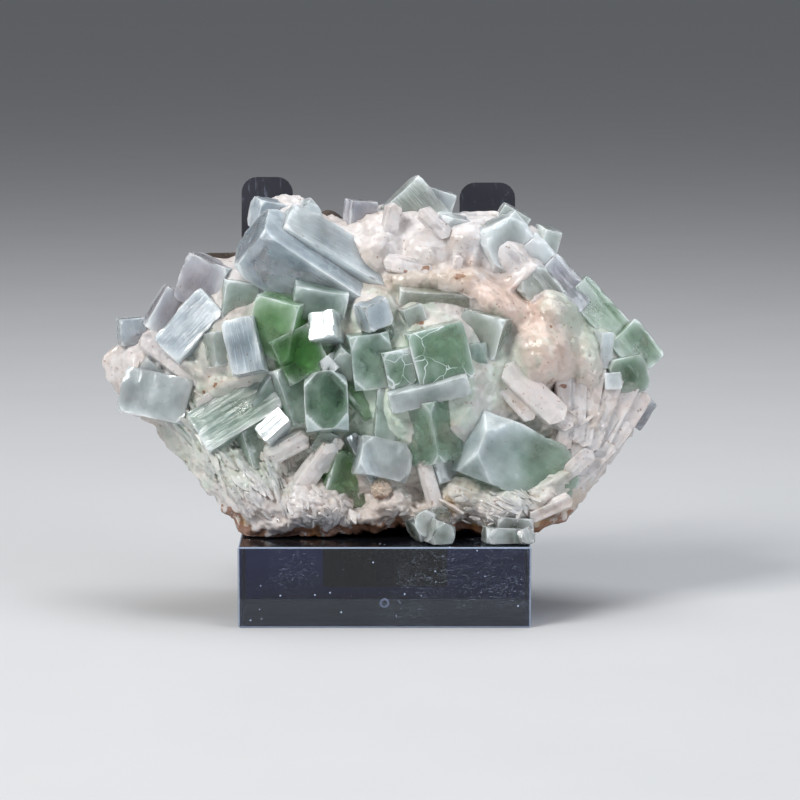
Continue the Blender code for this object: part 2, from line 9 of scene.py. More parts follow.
# %% Load the solids
from collections import namedtuple

import bpy
import numpy as np
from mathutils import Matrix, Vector


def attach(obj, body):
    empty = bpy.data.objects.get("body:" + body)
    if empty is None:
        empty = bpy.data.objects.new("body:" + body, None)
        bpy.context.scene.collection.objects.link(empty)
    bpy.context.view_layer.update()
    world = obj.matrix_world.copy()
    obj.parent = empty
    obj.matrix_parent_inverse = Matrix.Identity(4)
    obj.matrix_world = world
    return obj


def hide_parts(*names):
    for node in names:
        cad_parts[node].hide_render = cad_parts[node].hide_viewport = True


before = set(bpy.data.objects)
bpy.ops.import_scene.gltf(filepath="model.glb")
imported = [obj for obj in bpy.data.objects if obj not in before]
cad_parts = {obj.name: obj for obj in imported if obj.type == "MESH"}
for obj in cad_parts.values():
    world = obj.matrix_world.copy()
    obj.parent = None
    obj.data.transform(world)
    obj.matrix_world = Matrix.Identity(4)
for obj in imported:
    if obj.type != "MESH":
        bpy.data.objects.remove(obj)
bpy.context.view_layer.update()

# %% [markdown]
# The specimen leans back by the same angle as the camera looks down. All of its pieces are
# therefore worked out in a leaning frame, in millimetres: x across, y into the depth, z up the
# slope. One function turns such points into metres in the world.

# %% The leaning frame
MM = 0.001
GAP = 0.3
BLOCK_WIDE = 50.0
BLOCK_DEEP = 36.0
BLOCK_TALL = 14.0
BACK = 14.0
LEAN = np.radians(8.0)


def turn_about(axis, angle):
    """Rotation matrix: the part along the axis stays, the rest turns by the angle."""
    x, y, z = axis
    cross = np.array([[0, -z, y], [z, 0, -x], [-y, x, 0]], float)
    return np.eye(3) + np.sin(angle) * cross + (1 - np.cos(angle)) * cross @ cross


LEANING = turn_about((1, 0, 0), -LEAN)


def frame_origin():
    """Where the leaning frame starts: its plane at BACK + GAP meets the block's upper back
    edge, and its zero height passes the block's lower front edge."""
    half, rise = BLOCK_DEEP / 2, np.tan(LEAN)
    reach = half * np.cos(LEAN) - BLOCK_TALL * np.sin(LEAN) - BACK - GAP
    back = (reach - half * rise * np.sin(LEAN)) / (np.cos(LEAN) + rise * np.sin(LEAN))
    return np.array([0.0, back, -half * rise - back * rise])


ORIGIN = frame_origin()


def to_world(points):
    """Metres in the world: the points turned by the lean, then moved to the frame's origin."""
    return (points @ LEANING.T + ORIGIN) * MM


print("leaning frame starts at", ORIGIN.round(2), "mm")

# %% [markdown]
# The camera looks along the leaning frame's y axis from 600 mm in front of the block, with a
# long lens, so that the picture's scale at the block is 5.86 pixels for each millimetre.

# %% Camera
DISTANCE = 600.0
PIXELS_PER_MM = 5.86
PICTURE = 800
LOOK = np.array([2.65, -19.4, 38.9])

camera = bpy.data.objects.new("camera", bpy.data.cameras.new("camera"))
bpy.context.scene.collection.objects.link(camera)
camera.location = to_world(LOOK - [0, DISTANCE, 0])
camera.rotation_euler = (np.pi / 2 - LEAN, 0, 0)
camera.data.lens = camera.data.sensor_width * DISTANCE * PIXELS_PER_MM / PICTURE
camera.data.clip_start = 0.01
bpy.context.scene.camera = camera
print("lens:", round(camera.data.lens, 1), "mm")

# %% [markdown]
# Every rough or grown surface needs a smooth random field. This one is value noise: a random
# number at each point of a cubic lattice, blended smoothly between the eight nearest.

# %% Random fields


def lattice_random(cells, seed):
    """A number from 0 to 1 for each whole-number cell, by mixing its bits."""
    cells = cells.astype(np.int64)
    mixed = (cells[..., 0] * 73856093) ^ (cells[..., 1] * 19349663) ^ (cells[..., 2] * 83492791)
    mixed = (mixed + seed * 2654435761) & 0xFFFFFFFF
    mixed = ((mixed ^ (mixed >> 15)) * 2246822519) & 0xFFFFFFFF
    mixed = ((mixed ^ (mixed >> 13)) * 3266489917) & 0xFFFFFFFF
    return ((mixed ^ (mixed >> 16)) & 0xFFFFFF) / 0xFFFFFF


def noise(points, size, seed=0):
    """Smooth noise from -1 to 1 with lumps of the given size in millimetres: the lattice's
    numbers weighted by 3t^2 - 2t^3 along each axis."""
    scaled = points / size
    corner = np.floor(scaled)
    part = scaled - corner
    part = part * part * (3 - 2 * part)
    total = np.zeros(points.shape[:-1])
    for step in np.ndindex(2, 2, 2):
        weight = np.prod(np.where(step, part, 1 - part), axis=-1)
        total += weight * lattice_random(corner + step, seed)
    return total * 2 - 1


def rough(points, size, octaves=4, seed=0):
    """Noise on noise: each octave has half the size and half the height of the last."""
    return sum(noise(points, size / 2**k, seed + k) / 2**k for k in range(octaves)) / 1.6


print("noise check:", noise(np.array([[0.3, 1.7, 2.2]]), 1.0).round(3))

# %% [markdown]
# A finished surface is a set of points, the quads between them, and named values that the
# materials read: a colour for each point, or a number from 0 to 1.

# %% From numbers to a mesh


def make_piece(name, part, materials, crease=None):
    """A mesh object at the origin whose points are already in world metres. Edges that bend
    more than the crease angle are shaded as sharp."""
    points, quads, values = part
    mesh = bpy.data.meshes.new(name)
    mesh.vertices.add(len(points))
    mesh.vertices.foreach_set("co", np.ascontiguousarray(points, np.float32).ravel())
    mesh.loops.add(quads.size)
    mesh.loops.foreach_set("vertex_index", np.ascontiguousarray(quads, np.int32).ravel())
    mesh.polygons.add(len(quads))
    mesh.polygons.foreach_set("loop_start", np.arange(0, quads.size, 4, dtype=np.int32))
    mesh.polygons.foreach_set("use_smooth", np.ones(len(quads), bool))
    for material in materials:
        mesh.materials.append(material)
    if "finish" in values:
        slots = values.pop("finish")[quads[:, 0]]
        mesh.polygons.foreach_set("material_index", slots.astype(np.int32))
    mesh.update(calc_edges=True)
    for value_name, value in values.items():
        if value.ndim == 2:
            layer = mesh.attributes.new(value_name, "FLOAT_COLOR", "POINT")
            coloured = np.ones((len(points), 4), np.float32)
            coloured[:, :3] = value
            layer.data.foreach_set("color", coloured.ravel())
        else:
            layer = mesh.attributes.new(value_name, "FLOAT", "POINT")
            layer.data.foreach_set("value", value.astype(np.float32))
    if crease is not None:
        mesh.set_sharp_from_angle(angle=crease)
    piece = bpy.data.objects.new(name, mesh)
    bpy.context.scene.collection.objects.link(piece)
    return piece


def join_parts(parts):
    """Many (points, quads, values) laid end to end as one."""
    starts = np.cumsum([0] + [len(points) for points, _, _ in parts])
    points = np.concatenate([points for points, _, _ in parts])
    quads = np.concatenate([quads + start for (_, quads, _), start in zip(parts, starts)])
    values = {key: np.concatenate([part[2][key] for part in parts]) for key in parts[0][2]}
    return points, quads, values


def block_grid(steps):
    """Points of a cube's surface and its quads. Whole-number places shared by two sides are
    kept once, so the seams are closed, and there are no poles."""
    first, second = np.mgrid[0 : steps + 1, 0 : steps + 1]
    sides = []
    for axis in range(3):
        for end in (0, steps):
            side = np.empty((steps + 1, steps + 1, 3), int)
            side[..., axis] = end
            side[..., (axis + 1) % 3] = first if end else second
            side[..., (axis + 2) % 3] = second if end else first
            sides.append(side)
    places = np.stack(sides).reshape(-1, 3)
    keys = (places * [(steps + 1) ** 2, steps + 1, 1]).sum(axis=1)
    _, kept, shared = np.unique(keys, return_index=True, return_inverse=True)
    row, column = np.mgrid[0:steps, 0:steps]
    corner = row * (steps + 1) + column
    quad = np.stack([corner, corner + steps + 1, corner + steps + 2, corner + 1], axis=-1)
    quads = np.concatenate([quad.reshape(-1, 4) + side * (steps + 1) ** 2 for side in range(6)])
    return places[kept] / steps * 2 - 1, shared.reshape(-1)[quads]


def ball_grid(steps):
    """Unit directions all round, on the cube's grid spread evenly by the tangent rule."""
    places, quads = block_grid(steps)
    spread = np.tan(places * np.pi / 4)
    return spread / np.linalg.norm(spread, axis=1, keepdims=True), quads


def outward_of(points, quads):
    """Unit normals at the points: each quad's normal is the cross product of its diagonals,
    and a point takes the sum of those round it."""
    a, b, c, d = (points[quads[:, k]] for k in range(4))
    normals = np.cross(c - a, d - b)
    summed = np.stack(
        [
            np.bincount(quads.ravel(), np.repeat(normals[:, axis], 4), len(points))
            for axis in range(3)
        ],
        axis=1,
    )
    return summed / np.maximum(np.linalg.norm(summed, axis=1, keepdims=True), 1e-12)


print("faces in a 30-step block:", len(block_grid(30)[1]))

# %% [markdown]
# Materials are written as sums. The Socket class wraps one output of a node, and its operators
# add Math nodes, so `1 - mask` or `mask * 0.5` is a small node tree.

# %% A small language for shader maths


class Socket:
    """One output socket, with arithmetic that adds Math nodes behind it."""

    def __init__(self, finish, socket):
        self.finish = finish
        self.socket = socket

    def math(self, operation, other=0.0, swapped=False, clamp=False):
        """A Math node on this value and another, in either order."""
        pair = (other, self) if swapped else (self, other)
        settings = {"operation": operation, "use_clamp": clamp}
        return self.finish.node("ShaderNodeMath", settings, dict(enumerate(pair)))

    def __add__(self, other):
        return self.math("ADD", other)

    def __radd__(self, other):
        return self.math("ADD", other)

    def __sub__(self, other):
        return self.math("SUBTRACT", other)

    def __rsub__(self, other):
        return self.math("SUBTRACT", other, swapped=True)

    def __mul__(self, other):
        return self.math("MULTIPLY", other)

    def __rmul__(self, other):
        return self.math("MULTIPLY", other)

    def __pow__(self, other):
        return self.math("POWER", other)

    def clamped(self):
        """The value, kept between 0 and 1."""
        return self.math("ADD", clamp=True)

    def step(self, low, high):
        """0 below low, 1 above high, and a smooth ramp between."""
        settings = {"interpolation_type": "SMOOTHSTEP"}
        inputs = {"Value": self, "From Min": low, "From Max": high}
        return self.finish.node("ShaderNodeMapRange", settings, inputs)


class Finish:
    """A material under construction."""

    def __init__(self, name):
        self.material = bpy.data.materials.new(name)
        self.material.use_nodes = True
        self.tree = self.material.node_tree
        self.tree.nodes.clear()
        self.output = self.tree.nodes.new("ShaderNodeOutputMaterial")
        self.place = self.node("ShaderNodeTexCoord", out="Object")

    def node(self, kind, settings=None, inputs=None, out=0):
        """Adds a node, sets its settings, then its inputs, and gives back one output."""
        made = self.tree.nodes.new(kind)
        for key, value in (settings or {}).items():
            setattr(made, key, value)
        for key, value in (inputs or {}).items():
            if isinstance(value, Socket):
                self.tree.links.new(value.socket, made.inputs[key])
            elif value is not None:
                made.inputs[key].default_value = value
        return Socket(self, made.outputs[out])

    def stretched(self, place, scale):
        """A place whose axes are scaled, so that a pattern on it is drawn out."""
        return self.node("ShaderNodeMapping", {}, {"Vector": place, "Scale": scale})

    def noise(self, scale, detail=3.0, distortion=0.0, place=None, roughness=0.5, out="Fac"):
        """Noise with about this many lumps to the metre, on the piece or on another place."""
        inputs = {
            "Vector": place or self.place, "Scale": scale, "Detail": detail,
            "Roughness": roughness, "Distortion": distortion,
        }
        return self.node("ShaderNodeTexNoise", {}, inputs, out)

    def cells(self, scale, feature="F1", place=None, out=0):
        """Voronoi cells: the distance to the nearest middle or edge, or a colour for each."""
        inputs = {"Vector": place or self.place, "Scale": scale}
        return self.node("ShaderNodeTexVoronoi", {"feature": feature}, inputs, out)

    def value(self, name):
        """A number that each point of the mesh carries."""
        return self.node("ShaderNodeAttribute", {"attribute_name": name}, out="Fac")

    def colour(self, name, out="Color"):
        """A colour, or a vector, that each point of the mesh carries."""
        return self.node("ShaderNodeAttribute", {"attribute_name": name}, out=out)

    def axis(self, name):
        """One coordinate of the place on the piece."""
        return self.node("ShaderNodeSeparateXYZ", {}, {"Vector": self.place}, out=name)

    def vector(self, operation, *vectors, scale=None):
        """A Vector Math node on one or two vectors."""
        inputs = {**dict(enumerate(vectors)), "Scale": scale}
        return self.node("ShaderNodeVectorMath", {"operation": operation}, inputs)

    def blend(self, share, first, second, way="MIX"):
        """The second colour laid over the first by the share."""
        settings = {"data_type": "RGBA", "blend_type": way}
        pair = {
            key: colour if isinstance(colour, Socket) else (*colour, 1.0)
            for key, colour in ((6, first), (7, second))
        }
        return self.node("ShaderNodeMix", settings, {0: share, **pair}, out=2)

    def bump(self, height, strength=0.3, distance=0.0002, way=None):
        """A normal that follows a height, over the mesh's normal or another one."""
        inputs = {"Height": height, "Strength": strength, "Distance": distance, "Normal": way}
        return self.node("ShaderNodeBump", {}, inputs)

    def facets(self, scale, tilt, way=None):
        """A normal that leans its own way in each cell, like the faces of small crystals:
        the cell's colour less one half, times the tilt, is added to the normal."""
        leans = self.vector("SUBTRACT", self.cells(scale, out="Color"), (0.5, 0.5, 0.5))
        leans = self.vector("SCALE", leans, scale=tilt)
        way = way or self.node("ShaderNodeNewGeometry", out="Normal")
        return self.vector("NORMALIZE", self.vector("ADD", way, leans))

    def principled(self, **inputs):
        """The main shader. A plain colour gets its fourth number here."""
        named = {
            key.replace("_", " "): (*value, 1.0) if isinstance(value, tuple) and "Color" in key
            else value
            for key, value in inputs.items()
        }
        return self.node("ShaderNodeBsdfPrincipled", {}, named)

    def shader_mix(self, share, first, second):
        """Two shaders mixed by a share."""
        return self.node("ShaderNodeMixShader", {}, {0: share.clamped(), 1: first, 2: second})

    def surface(self, shader):
        """What the outside of the piece is made of."""
        self.tree.links.new(shader.socket, self.output.inputs["Surface"])

    def absorb(self, colour, density):
        """Plain absorption inside a clear body: deeper means darker."""
        inputs = {"Color": (*colour, 1.0), "Density": density}
        inside = self.node("ShaderNodeVolumeAbsorption", {}, inputs)
        self.tree.links.new(inside.socket, self.output.inputs["Volume"])


# %% [markdown]
# ## Apophyllite
# Fresh apophyllite is glassy, with milky veils inside and frosted, worn edges; their white is
# also a painted highlight. Each crystal carries its own tint, and numbers for how near a point
# is to an edge, how milky the crystal is, how pearly its face is, and how cracked. The finish
# mixes two shaders by those numbers: a clear one that lets light through with plain
# transmission, index and absorption, and a milky one that scatters light under its surface.

# %% The crystal finishes
FROST_AND_HIGHLIGHT = (0.80, 0.86, 0.88)
IRON_DUST = (0.30, 0.16, 0.08)
DRAWN_OUT = (1.0, 1.0, 0.045)
CRACK_CELLS = 230
CRACK_WIDE = 0.02
CRACK_WARP = 0.0022


def crystal_finish(name, clear_tint, absorb_tint, density):
    """Clear and milky glass mixed. Streaks follow the crystal's own c axis, from its own
    coordinates in the attribute named own, which are in millimetres."""
    finish = Finish(name)
    tint, edge, rim = finish.colour("tint"), finish.value("edge"), finish.value("rim")
    milky, pearly, cracked = (finish.value(key) for key in ("milky", "pearly", "cracked"))
    ribbed = finish.value("ribbed")
    drawn = finish.stretched(finish.colour("own", out="Vector"), DRAWN_OUT)
    streaks = finish.noise(1.7, detail=3, place=drawn, roughness=0.62)
    fine_streaks = finish.noise(5.5, detail=2, place=drawn)
    cloud = finish.noise(150, detail=3)
    veil = finish.noise(75, detail=3, distortion=2.0)
    wisps = finish.noise(1100, detail=2)
    dust = finish.noise(1900, detail=1)
    warp = finish.vector("SCALE", finish.noise(420, detail=1, out="Color"), scale=CRACK_WARP)
    bent = finish.vector("ADD", finish.place, warp)
    web = finish.cells(CRACK_CELLS, "DISTANCE_TO_EDGE", bent)
    lines = (1 - web.step(0.0, CRACK_WIDE)) * cracked * cloud.step(0.44, 0.52)
    scratched = (streaks.step(0.60, 0.68) + fine_streaks.step(0.56, 0.64)) * (ribbed * 0.9 + 0.12)
    # Worn edges and frosted rims are whitened for real wear and frost, and also as a painted
    # highlight.
    worn = edge * cloud.step(0.30, 0.60)
    frosted_lit_rim = rim * veil.step(0.20, 0.60)
    whiteness = (
        worn * 0.30 + frosted_lit_rim * 0.55 + cloud.step(0.50, 0.78) * 0.45 + scratched * 0.36 + lines
    ).clamped()
    body = finish.blend(whiteness, tint, FROST_AND_HIGHLIGHT)
    body = finish.blend(veil.step(0.42, 0.74) * (1 - frosted_lit_rim) * 0.55, body, tint, "MULTIPLY")
    body = finish.blend(dust.step(0.74, 0.78) * 0.7, body, IRON_DUST)
    grain = finish.bump(
        wisps * 0.5 + cloud * 1.2 + (streaks * 2.6 + fine_streaks * 1.2) * (ribbed * 0.8 + 0.3),
        strength=0.30, distance=0.00016, way=finish.facets(380, 0.09),
    )
    pitted = (worn * 0.30 + cloud.step(0.4, 0.8) * 0.28 + 0.03).clamped()
    clear = finish.principled(
        Base_Color=finish.blend(worn * 0.4, clear_tint, (0.95, 0.97, 0.97)),
        Roughness=pitted, IOR=1.49, Transmission_Weight=1.0, Normal=grain,
    )
    frosted = finish.principled(
        Base_Color=body, Roughness=(pitted + 0.16 - pearly * 0.14).clamped(), IOR=1.535,
        Subsurface_Weight=0.8, Subsurface_Radius=(0.9, 1.0, 1.0), Subsurface_Scale=0.0020,
        Metallic=pearly * 0.55, Coat_Weight=(pearly * 0.8 + 0.60).clamped(),
        Coat_Roughness=0.05, Normal=grain,
    )
    share = milky * 0.78 + worn * 0.30 + frosted_lit_rim * 0.35 + (cloud - 0.5) * 1.2
    share = share + scratched * 0.25 + lines + pearly * 0.4
    finish.surface(finish.shader_mix(share, clear, frosted))
    finish.absorb(absorb_tint, density)
    return finish.material


PALE_GREEN = crystal_finish("pale_green_crystal", (0.92, 0.97, 0.94), (0.55, 0.82, 0.68), 95)
BOTTLE_GREEN = crystal_finish("bottle_green_crystal", (0.88, 0.95, 0.89), (0.42, 0.70, 0.50), 170)
LEAF_GREEN = crystal_finish("leaf_green_crystal", (0.80, 0.95, 0.74), (0.34, 0.80, 0.26), 200)
ICE_BLUE = crystal_finish("ice_blue_crystal", (0.95, 0.97, 0.99), (0.66, 0.78, 0.86), 60)
LILAC = crystal_finish("lilac_crystal", (0.95, 0.94, 0.97), (0.74, 0.72, 0.80), 60)
CRYSTAL_FINISHES = [PALE_GREEN, BOTTLE_GREEN, LEAF_GREEN, ICE_BLUE, LILAC]
print("crystal finishes:", [made.name for made in CRYSTAL_FINISHES])

# %% [markdown]
# An apophyllite crystal is a square prism closed by a flat top and bottom, whose eight corners
# are cut by pyramid faces. That is fourteen planes. A direction from the middle meets all of
# them, and the nearest one gives the surface, so the form is one formula: the distance is one
# over the largest of (direction . normal / distance of the plane). A high power mean in place
# of the largest rounds the edges a little, as real worn edges are.

# %% Crystal form
PYRAMID_TILT = np.radians(60.4)
EDGE_POWER = 90.0
EDGE_REACH = 0.15
RIM_REACH = 0.95

Crystal = namedtuple("Crystal", "x y z wide deep tall turn tip swing cut tint milky extra")


def crystal_planes(item):
    """Normals and distances of the fourteen faces."""
    half = np.array([item.wide, item.deep, item.tall]) / 2
    flat = np.concatenate([np.eye(3), -np.eye(3)])
    signs = np.array(list(np.ndindex(2, 2, 2))) * 2 - 1
    side = np.sin(PYRAMID_TILT) / np.sqrt(2)
    sloped = signs * [side, side, np.cos(PYRAMID_TILT)]
    distances = np.concatenate([half, half, (sloped * signs * half).sum(axis=1) - item.cut])
    return np.concatenate([flat, sloped]), distances


def item_turn(item):
    """A piece's swing about its own length, then its tip and its turn in the picture."""
    in_picture = turn_about((0, -1, 0), np.radians(item.turn))
    toward = turn_about((1, 0, 0), np.radians(item.tip))
    return in_picture @ toward @ turn_about((0, 0, 1), np.radians(item.swing))


def planed(item, normals, distances, steps):
    """Points on the form that the planes enclose: a box grid's point q, divided by the power
    mean of q . normal / distance over all planes. Also each plane's share of the point, and
    how near the point is to an edge: closely, for its wear and a painted edge highlight, and
    widely, for its frosted rim with a painted highlight."""
    places, quads = block_grid(steps)
    places = 0.3 * places + 0.7 * np.sin(np.pi / 2 * places)
    ahead = places * np.array([item.wide, item.deep, item.tall]) / 2
    near = np.maximum(ahead @ normals.T / distances, 0)
    raised = near**EDGE_POWER
    points = ahead / (raised.sum(axis=1) ** (1 / EDGE_POWER))[:, None]
    share = raised / raised.sum(axis=1, keepdims=True)
    ordered = np.sort(near * distances.min() / near.max(axis=1, keepdims=True), axis=1)
    inside = ordered[:, -1] - ordered[:, -2]
    edge, rim = (np.exp(-((inside / reach) ** 2)) for reach in (EDGE_REACH, RIM_REACH))
    return points, quads, share, edge, rim


print("planes of a crystal:", len(crystal_planes(Crystal(*[1.0] * 9, 0.1, None, 0, ""))[1]))

# %% [markdown]
# The faces of a real crystal aren't quite flat. Its sides carry fine ribs along the length,
# its ends low steps, and its edges small chips. So each point is moved out of its face a
# little, by noise that is drawn out along the crystal, and each face gets a mood of its own.

# %% One crystal
GRID_LEAST = 12
GRID_PER_MM = 1.2
FROSTED_END = (0.62, 0.70, 0.74)
PEARLY_SIDES = {"mirror": 0.65, "pearly": 0.30}
RIBBED = {"ribbed": 0.7, "fading": 0.2}


def growth_lines(points, share, seed):
    """Height of the fine ribs along c on the four prism faces: noise of the place across the
    face only, drawn in steps. The end faces get low hillocks."""
    across = points[:, 1] * (share[:, 0] + share[:, 3]) + points[:, 0] * (share[:, 1] + share[:, 4])
    place = np.stack([across, np.full_like(across, seed), points[:, 2] * 0.06], axis=-1)
    ribs = np.round(noise(place, 1.3, seed) * 3) / 3 * 0.10 + noise(place, 0.4, seed + 1) * 0.035
    on_prism = share[:, [0, 1, 3, 4]].sum(axis=1)
    hills = np.round(noise(points, 2.2, seed + 2) * 2.5) / 2.5 * 0.09
    return ribs * on_prism + hills * (1 - on_prism)


def resting(points):
    """Nothing grown reaches below the block's top: lower points are pressed flat on it."""
    placed = to_world(points)
    placed[:, 2] = np.maximum(placed[:, 2], (BLOCK_TALL + GAP) * MM)
    return placed


def mixed(tint, colour, mask):
    """Each point's tint, gone over to the colour by the point's mask."""
    mask = np.clip(mask, 0, 1)[:, None]
    return tint * (1 - mask) + np.array(colour) * mask


def crystal_form(item, seed, finish):
    """One crystal as (world points, quads, values): point + face normal * (ribs + warp -
    chips), then turned and moved to its place."""
    normals, distances = crystal_planes(item)
    steps = int(GRID_LEAST + GRID_PER_MM * max(item.wide, item.deep, item.tall))
    points, quads, share, edge, rim = planed(item, normals, distances, steps)
    height = growth_lines(points, share, seed)
    warp = noise(points + seed * 7.1, 4.5, seed) * 0.20
    near_edge = np.sqrt(edge)
    chips = np.maximum(noise(points, 1.1, seed + 5) - 0.15, 0) * near_edge * 0.55
    points = points + (share @ normals) * (height + warp - chips - 0.05)[:, None]
    placed = points @ item_turn(item).T + [item.x, item.y, item.z]
    ends = share[:, [2, 5]].sum(axis=1)
    count = len(points)
    face_moods = np.random.default_rng(seed).random(len(normals)) - 0.5
    values = {
        "tint": np.tile(np.array(item.tint), (count, 1)),
        "edge": edge,
        "rim": rim,
        "own": points + seed * 3.7,
        "milky": item.milky + share @ face_moods * 0.4,
        "pearly": ends * (0.9 if item.extra == "pearly" else 0.12)
        + (1 - ends) * PEARLY_SIDES.get(item.extra, 0.0),
        "cracked": np.full(count, 1.0 if item.extra == "cracked" else 0.0),
        "ribbed": np.full(count, RIBBED.get(item.extra, 0.0)),
        "finish": np.full(count, finish),
    }
    if item.extra in ("fading", "veiled"):
        way = 1 if item.extra == "veiled" else -1
        along = np.clip(way * points[:, 2] / item.tall * 1.3 + 0.5, 0, 1)
        values["tint"] = mixed(values["tint"], FROSTED_END, along)
        values["milky"] = values["milky"] + 0.25 * along
    if item.extra == "window":
        values["tint"] = mixed(values["tint"], FROSTED_END, (1 - ends) * 0.7)
        values["milky"] = values["milky"] + 0.7 * (1 - ends)
    return resting(placed), quads, values


print("frosted ends:", FROSTED_END)

# %% [markdown]
# The crystals themselves: where each sits, its three sizes, its turn in the picture, its tip
# towards the viewer, its swing about its own axis, the cut of its corners, its tint, how milky
# it is, and anything special about it. Places and sizes are those of the solids. Most corner
# cuts are smaller, so that the faces stay square as in fresh crystals, and some small crystals
# that stand in the gaps are only here. A mirror-bright one is turned so that it catches the
# key light.

# %% The crystals of each group
ICE = (0.54, 0.63, 0.71)
MIST = (0.48, 0.62, 0.55)
SEA = (0.37, 0.57, 0.46)
LEAF = (0.34, 0.60, 0.32)
DEEP = (0.12, 0.33, 0.09)
BOTTLE = (0.20, 0.39, 0.25)
HAZE = (0.56, 0.60, 0.55)
MAUVE = (0.56, 0.56, 0.63)
HONEY = (0.52, 0.51, 0.40)
PEARL = (0.68, 0.75, 0.77)
GREAT = (0.40, 0.60, 0.41)
SNOWY = (0.70, 0.75, 0.75)

